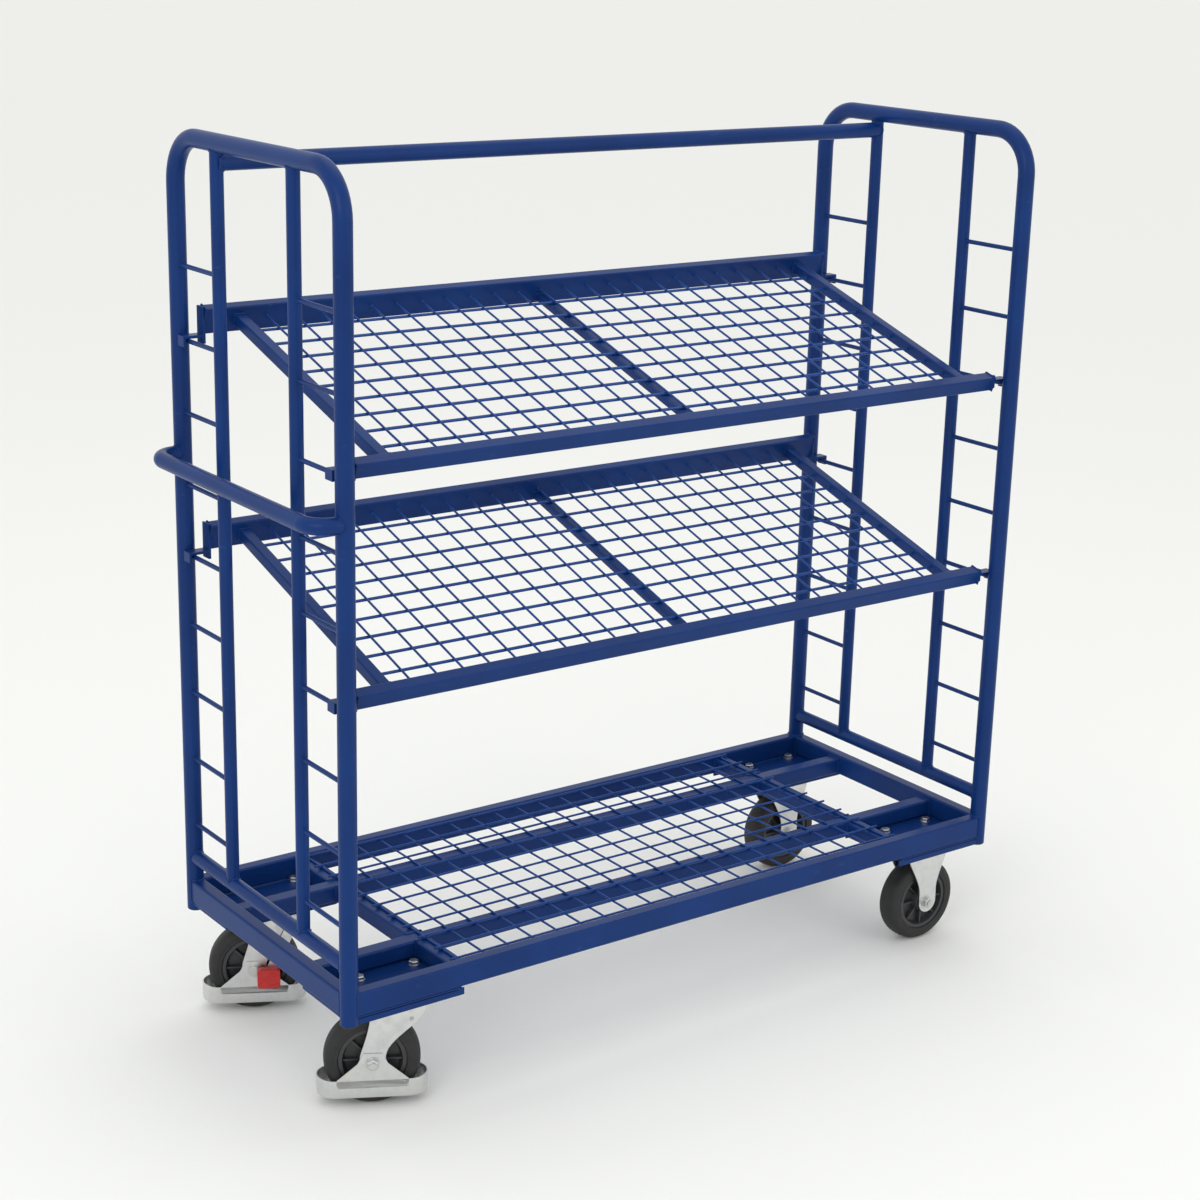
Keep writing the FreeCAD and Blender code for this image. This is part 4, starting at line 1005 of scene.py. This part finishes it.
for name in castor_spots:
    low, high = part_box(f"{name}_tyre")
    place = (Matrix.Translation((low + high) / 2)
             @ Matrix.Rotation(castor_turn.get(name, 0.0), 4, "Z"))
    tyre = moved(turned(f"{name}_rubber_tyre", tyre_outline, tyre_black, 96), place)
    fit(tyre, f"{name}_wheel", "tyre_rubber", f"{name}_tyre")
    body = turned("body", hub_outline, wheel_grey, 72)
    ribs = rib_jig.make("ribs", spots([]), wheel_grey, Count=8, Length=0.0275, Width=0.032,
                        Thickness=0.0032, Middle=0.0345)
    wheel = moved(joined(f"{name}_ribbed_wheel", [body, softened(ribs, 0.0004)]), place)
    fit(wheel, f"{name}_wheel", "wheel_plastic", f"{name}_wheel_hub")
    bearing = moved(turned(f"{name}_roller_bearing", bearing_outline, ground_steel, 40), place)
    fit(bearing, f"{name}_wheel", "bearing_steel", f"{name}_wheel_bearing")


# Axles ------------------------------------------------------------------------------------------
# Each wheel runs on an M12 bolt through both legs, with a spacer sleeve between them. Its low
# hex head lies on the inward side, clear of the brake pedal, and its nut on the other.

def axle_bolt(name, x, clear, inward):
    """Low head, nut and spacer sleeve of one wheel, about the castor's own axis."""
    ends = []
    for side, height, reach in ((inward, 0.0024, 0.0030), (-inward, 0.0072, 0.0115)):
        end = bolt_jig.make("end", spots([(0, 0, 0)]), bolt_zinc, Corner=0.0100, Height=height,
                            Washer=0.0120, Thread=0.0058, Reach=reach,
                            Tilt=-side * quarter_turn)
        ends.append(moved(end, Matrix.Translation((x, clear * side, axle_z))))
    sleeve = turned("sleeve", [(0.0, 0.0269), (0.0080, 0.0269), (0.0080, -0.0269), (0.0, -0.0269)],
                    bolt_zinc, 40)
    ends.append(moved(sleeve, Matrix.Translation((x, 0, axle_z))))
    return moved(joined(f"{name}_axle_bolt", ends), castor_place(name))


for name in swivel_spots:
    pedal_side = 1 if name.startswith("front") else -1
    fit(axle_bolt(name, -trail, 0.032, pedal_side), f"{name}_castor", "zinc_fastener",
        f"{name}_axle")
fixed_axles = joined("fixed_axle_bolts", [
    axle_bolt(name, 0.0, 0.030, 1) for name in ("front_right", "rear_right")])
fit(fixed_axles, "trolley", "zinc_fastener", "fixed_castor_axles")


# Foot guards ------------------------------------------------------------------------------------
# A zinc plated band runs round the wheel close to the floor to keep toes out. Its side plates
# rise to the axle and are held by the axle bolt.

guard_half = 0.032
guard_low, guard_high = 0.018, 0.050
for name in swivel_spots:
    path = []
    for centre, first in ((0.060, -90), (-0.060, 90)):
        for step in range(13):
            angle = math.radians(first + 15 * step)
            path.append((-trail + centre + guard_half * math.cos(angle),
                         guard_half * math.sin(angle), math.cos(angle), math.sin(angle)))
    rows = []
    for x, y, out_x, out_y in path:
        row = []
        for step in range(7):
            share = step / 6
            lip = -0.0012 * (1 - min(share * 3, 1)) ** 2
            row.append((x + out_x * lip, y + out_y * lip,
                        guard_low + (guard_high - guard_low) * share))
        rows.append(row)
    band = folded("band", rows, 0.002, sheet_zinc, ring_shaped=True, edge=0.0005)
    outline = rounded([
        (-0.058, 0.036), (0.058, 0.036), (0.060, 0.0500), (0.025, 0.080), (0.016, 0.098),
        (-0.016, 0.098), (-0.025, 0.080), (-0.060, 0.0500)], 0.0045)
    sides = []
    for side in (-1, 1):
        cheek = plate("cheek", outline, 0.0, 0.0018, sheet_zinc, 0.0005)
        moved(cheek, stand_up,
              Matrix.Translation((-trail, guard_half if side > 0 else -guard_half + 0.0018, 0)))
        sides.append(cheek)
    guard = moved(joined(f"{name}_toe_guard", [band, *sides]), castor_place(name))
    fit(guard, f"{name}_castor", "zinc_sheet", f"{name}_foot_guard")


# Brakes -----------------------------------------------------------------------------------------
# A flat steel arm on a shaft through the fork turns a cam down on the tread. A ribbed red
# plastic pedal is pushed on its lower end, on the side that faces the trolley's middle.

pedal_red = moulding("pedal_red", (0.48, 0.012, 0.012, 1.0), (0.60, 0.070, 0.060, 1.0), 0.34)
brake_x, brake_z = 0.018, 0.158
arm_lean, cam_lean = math.radians(23.69), math.radians(58.92)
arm_length = 0.112
arm_in, arm_out = 0.033, 0.037
shaft_rad, shaft_edge = 0.0049, 0.0042
cam_half, cam_reach = 0.004, 0.019
pedal_half, pedal_deep = 0.020, 0.016
ridge_half, ridge_pitch = 0.0150, 0.0058


def hanging(piece, lean):
    """Swing a part drawn hanging below the shaft back to its angle, then up to the shaft."""
    return moved(piece, Matrix.Rotation(lean, 4, "Y"), Matrix.Translation((brake_x, 0, brake_z)))


def slab(name, half, low, high, corner, ends, finish, edge, steps=5):
    """A rectangle with rounded corners, given a thickness between the two ends."""
    outline = rounded([(-half, low), (half, low), (half, high), (-half, high)], corner, steps)
    return plate(name, outline, *ends, finish, edge)


for name, inward in (("front_left", 1), ("rear_left", -1)):
    flip = Matrix.Translation((0, arm_out if inward > 0 else -arm_in, 0))
    arm = slab("arm", 0.009, -arm_length + 0.004, 0.009, 0.0088, (0.0, arm_out - arm_in),
               sheet_zinc, 0.0005)
    hanging(moved(arm, stand_up, flip), arm_lean)
    shaft_ends = sorted((-0.0300 * inward, (arm_out + 0.003) * inward))
    near_end, far_end = shaft_ends
    shaft = turned("shaft", [
        (0.0, far_end), (shaft_edge, far_end), (shaft_rad, far_end - 0.0008),
        (shaft_rad, near_end + 0.0008), (shaft_edge, near_end), (0.0, near_end)], sheet_zinc, 32)
    moved(shaft, Matrix.Translation((brake_x, 0, brake_z)))
    cam = slab("cam", cam_half, -cam_reach, cam_half, 0.0035, (-0.017, 0.017), sheet_zinc,
               0.0005)
    hanging(moved(cam, stand_up), cam_lean)
    lever = moved(joined(f"{name}_brake_arm", [arm, shaft, cam]), castor_place(name))
    fit(lever, f"{name}_brake", "zinc_sheet", f"{name}_brake_lever")

    low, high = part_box(f"{name}_brake_pedal")
    reach_z = high.z - low.z
    drop = -arm_length + reach_z / 2
    middle = Matrix.Rotation(arm_lean, 4, "Y") @ Vector((0, 0, drop))
    pad = slab("pad", pedal_half, -reach_z / 2, reach_z / 2, 0.0068, (0.0, pedal_deep),
               pedal_red, 0.0022, 7)
    ridges = []
    for number in range(5):
        level = (number - 2) * ridge_pitch
        ridges.append(slab("ridge", ridge_half, level - 0.0013, level + 0.0013, 0.0012,
                           (-0.0004, pedal_deep + 0.0004), pedal_red, 0.0004, 4))
    near = arm_out + pedal_deep if inward > 0 else -arm_out
    pedal = joined(f"{name}_red_pedal", [pad, *ridges])
    moved(pedal, stand_up,
          Matrix.Translation((brake_x + middle.x, near, brake_z + middle.z)), castor_place(name))
    fit(pedal, f"{name}_brake", "red_pedal", f"{name}_brake_pedal")


# Tilted shelves ---------------------------------------------------------------------------------
# Each shelf is a welded tray: a square front rail, a tall back rail that stops the goods, side
# bars, a flat middle bar and wire mesh. Flat hooks on the rails' ends hang it on the ladders.

shelf_tilt = math.radians(17.2)
shelf_half = 0.600
shelf_depth = 0.503
front_side = 0.025
rear_tall, rear_thick = 0.045, 0.020
bar_side = 0.020
brace_tall = 0.012

for name in ("upper", "lower"):
    low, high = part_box(f"{name}_shelf_rails")
    reach = (high.x - low.x) / 2
    middle_x = (low.x + high.x) / 2
    front_y = -0.240
    front_z = low.z + (math.cos(shelf_tilt) + math.sin(shelf_tilt)) * front_side / 2
    slope = Matrix.Translation((middle_x, front_y, front_z)) @ Matrix.Rotation(shelf_tilt, 4, "X")
    start_y = front_side / 2
    stop_y = shelf_depth - rear_thick / 2

    trims = []
    for piece_name, path, width, tall in (
        ("front", [(-reach, 0, 0), (reach, 0, 0)], front_side, front_side),
        ("rear", [(-reach, shelf_depth, 0), (reach, shelf_depth, 0)], rear_thick, rear_tall),
    ):
        trims.append(rail_jig.make(piece_name, centre_lines([path]), frame_blue, Width=width,
                                   Height=tall, Corner=0.003))
    rails = moved(joined(f"{name}_shelf_front_and_back", trims), slope)
    fit(rails, f"{name}_shelf", "blue_frame", f"{name}_shelf_rails")

    sides = rail_jig.make("sides", centre_lines([
        [(x, start_y, 0), (x, stop_y, 0)] for x in (-shelf_half, shelf_half)]),
        frame_blue, Width=bar_side, Height=bar_side, Corner=0.0028)
    brace_z = -wire_rad * 2 - brace_tall / 2
    brace = rail_jig.make("brace", centre_lines([[(0, start_y, brace_z), (0, stop_y, brace_z)]]),
                          frame_blue, Width=bar_side, Height=brace_tall, Corner=0.002)
    bars = moved(joined(f"{name}_shelf_side_bars", [sides, brace]), slope)
    fit(bars, f"{name}_shelf", "blue_frame", f"{name}_shelf_bars")

    wires = mesh_jig.make("wires", spots([]), mesh_blue, **{
        "Long Wires": 9, "Long Length": shelf_half * 2 - bar_side, "Cross Wires": 23,
        "Cross Length": stop_y - start_y, "Pitch": mesh_pitch, "Wire": wire_rad,
        "Lift": -wire_rad * 0.99})
    wires.name = f"{name}_shelf_wire_mesh"
    moved(wires, Matrix.Translation((0, mesh_pitch * 5, 0)))
    for vertex in wires.data.vertices:
        if vertex.co.z > 0:
            vertex.co.y += (start_y + stop_y) / 2 - mesh_pitch * 5
    moved(wires, slope)
    fit(wires, f"{name}_shelf", "blue_mesh", f"{name}_shelf_mesh")

    tack_spots = [(x, y, wire_rad) for x in mesh_offsets(23) for y in (start_y, stop_y)]
    tack_spots += [
        ((shelf_half - bar_side / 2) * side, mesh_pitch * step, -wire_rad)
        for side in (-1, 1) for step in range(1, 10)
    ]
    tacks = tack_jig.make(f"{name}_shelf_tack_welds", spots(tack_spots), mesh_blue, Size=0.0032)
    fit(moved(tacks, slope), f"{name}_shelf", "blue_mesh")

    outline = oblong(bar_side, bar_side)
    shelf_joints = [
        [(x + across, y, up) for up, across in outline]
        for x in (-shelf_half, shelf_half) for y in (start_y, stop_y)
    ]
    shelf_joints += [
        [(across, y, brace_z + up) for up, across in oblong(brace_tall, bar_side)]
        for y in (start_y, stop_y)
    ]
    shelf_joints += [
        [(reach * side, y + across, up) for up, across in oblong(tall, thick)]
        for side in (-1, 1)
        for y, thick, tall in ((0.0, front_side, front_side), (shelf_depth, rear_thick, rear_tall))
    ]
    beads = weld_jig.make(f"{name}_shelf_welds", centre_lines(shelf_joints, True), frame_blue,
                          Bead=0.0017, Step=0.0019)
    fit(moved(beads, slope), f"{name}_shelf", "blue_frame")

    source = bpy.data.meshes.new_from_object(frame["nodes"][f"{name}_shelf_hooks"])
    hooks = bpy.data.objects.new(f"{name}_shelf_flat_hooks", source)
    bpy.context.scene.collection.objects.link(hooks)
    work = bmesh.new()
    work.from_mesh(source)
    bmesh.ops.remove_doubles(work, verts=work.verts, dist=0.00001)
    bmesh.ops.dissolve_limit(work, angle_limit=math.radians(1), verts=work.verts,
                             edges=work.edges)
    work.to_mesh(source)
    work.free()
    source.materials.clear()
    source.materials.append(frame_blue)
    fit(softened(hooks, 0.0009), f"{name}_shelf", "blue_frame", f"{name}_shelf_hooks")


# Floor, light and camera ------------------------------------------------------------------------
# A plain pale floor that runs off into the backdrop, two large softboxes and an overhead one.

paper = Finish("studio_paper")
tooth = paper.grain(300.0, 3.0)
paper.coat({
    "Base Color": paper.blend(tooth, (0.855, 0.858, 0.840, 1.0), (0.875, 0.878, 0.860, 1.0)),
    "Roughness": 0.9,
})
floor = solid("studio_floor", [(-90, -90, -0.0002), (90, -90, -0.0002), (90, 90, -0.0002),
                               (-90, 90, -0.0002)], [(0, 1, 2, 3)], paper.material)
if floor.data.polygons[0].normal.z < 0:
    floor.data.flip_normals()

world = bpy.data.worlds.new("studio")
world.use_nodes = True
world.node_tree.nodes["Background"].inputs["Color"].default_value = (0.95, 0.955, 0.94, 1.0)
world.node_tree.nodes["Background"].inputs["Strength"].default_value = 1.03
bpy.context.scene.world = world
bpy.context.scene.view_settings.view_transform = "Standard"


def softbox(name, spot, size, power):
    """A square area light that faces the middle of the trolley."""
    lamp = bpy.data.lights.new(name, "AREA")
    lamp.size = size
    lamp.energy = power
    box = bpy.data.objects.new(name, lamp)
    box.location = spot
    box.rotation_euler = (Vector((0, 0, 0.75)) - Vector(spot)).to_track_quat("-Z", "Y").to_euler()
    bpy.context.scene.collection.objects.link(box)


softbox("left_softbox", (-4.2, -2.6, 3.2), 2.4, 48)
softbox("front_softbox", (1.6, -4.4, 2.4), 2.2, 16)
softbox("overhead_softbox", (0.3, 0.4, 4.6), 3.0, 22)

lens = bpy.data.cameras.new("viewpoint")
lens.lens = 69.91
lens.sensor_width = 36.0
lens.clip_end = 60.0
camera = bpy.data.objects.new("viewpoint", lens)
camera.location = (-2.33165, -3.1783, 1.9122)
camera.rotation_euler = (1.27781, -0.02365, -0.62647)
bpy.context.scene.collection.objects.link(camera)
bpy.context.scene.camera = camera
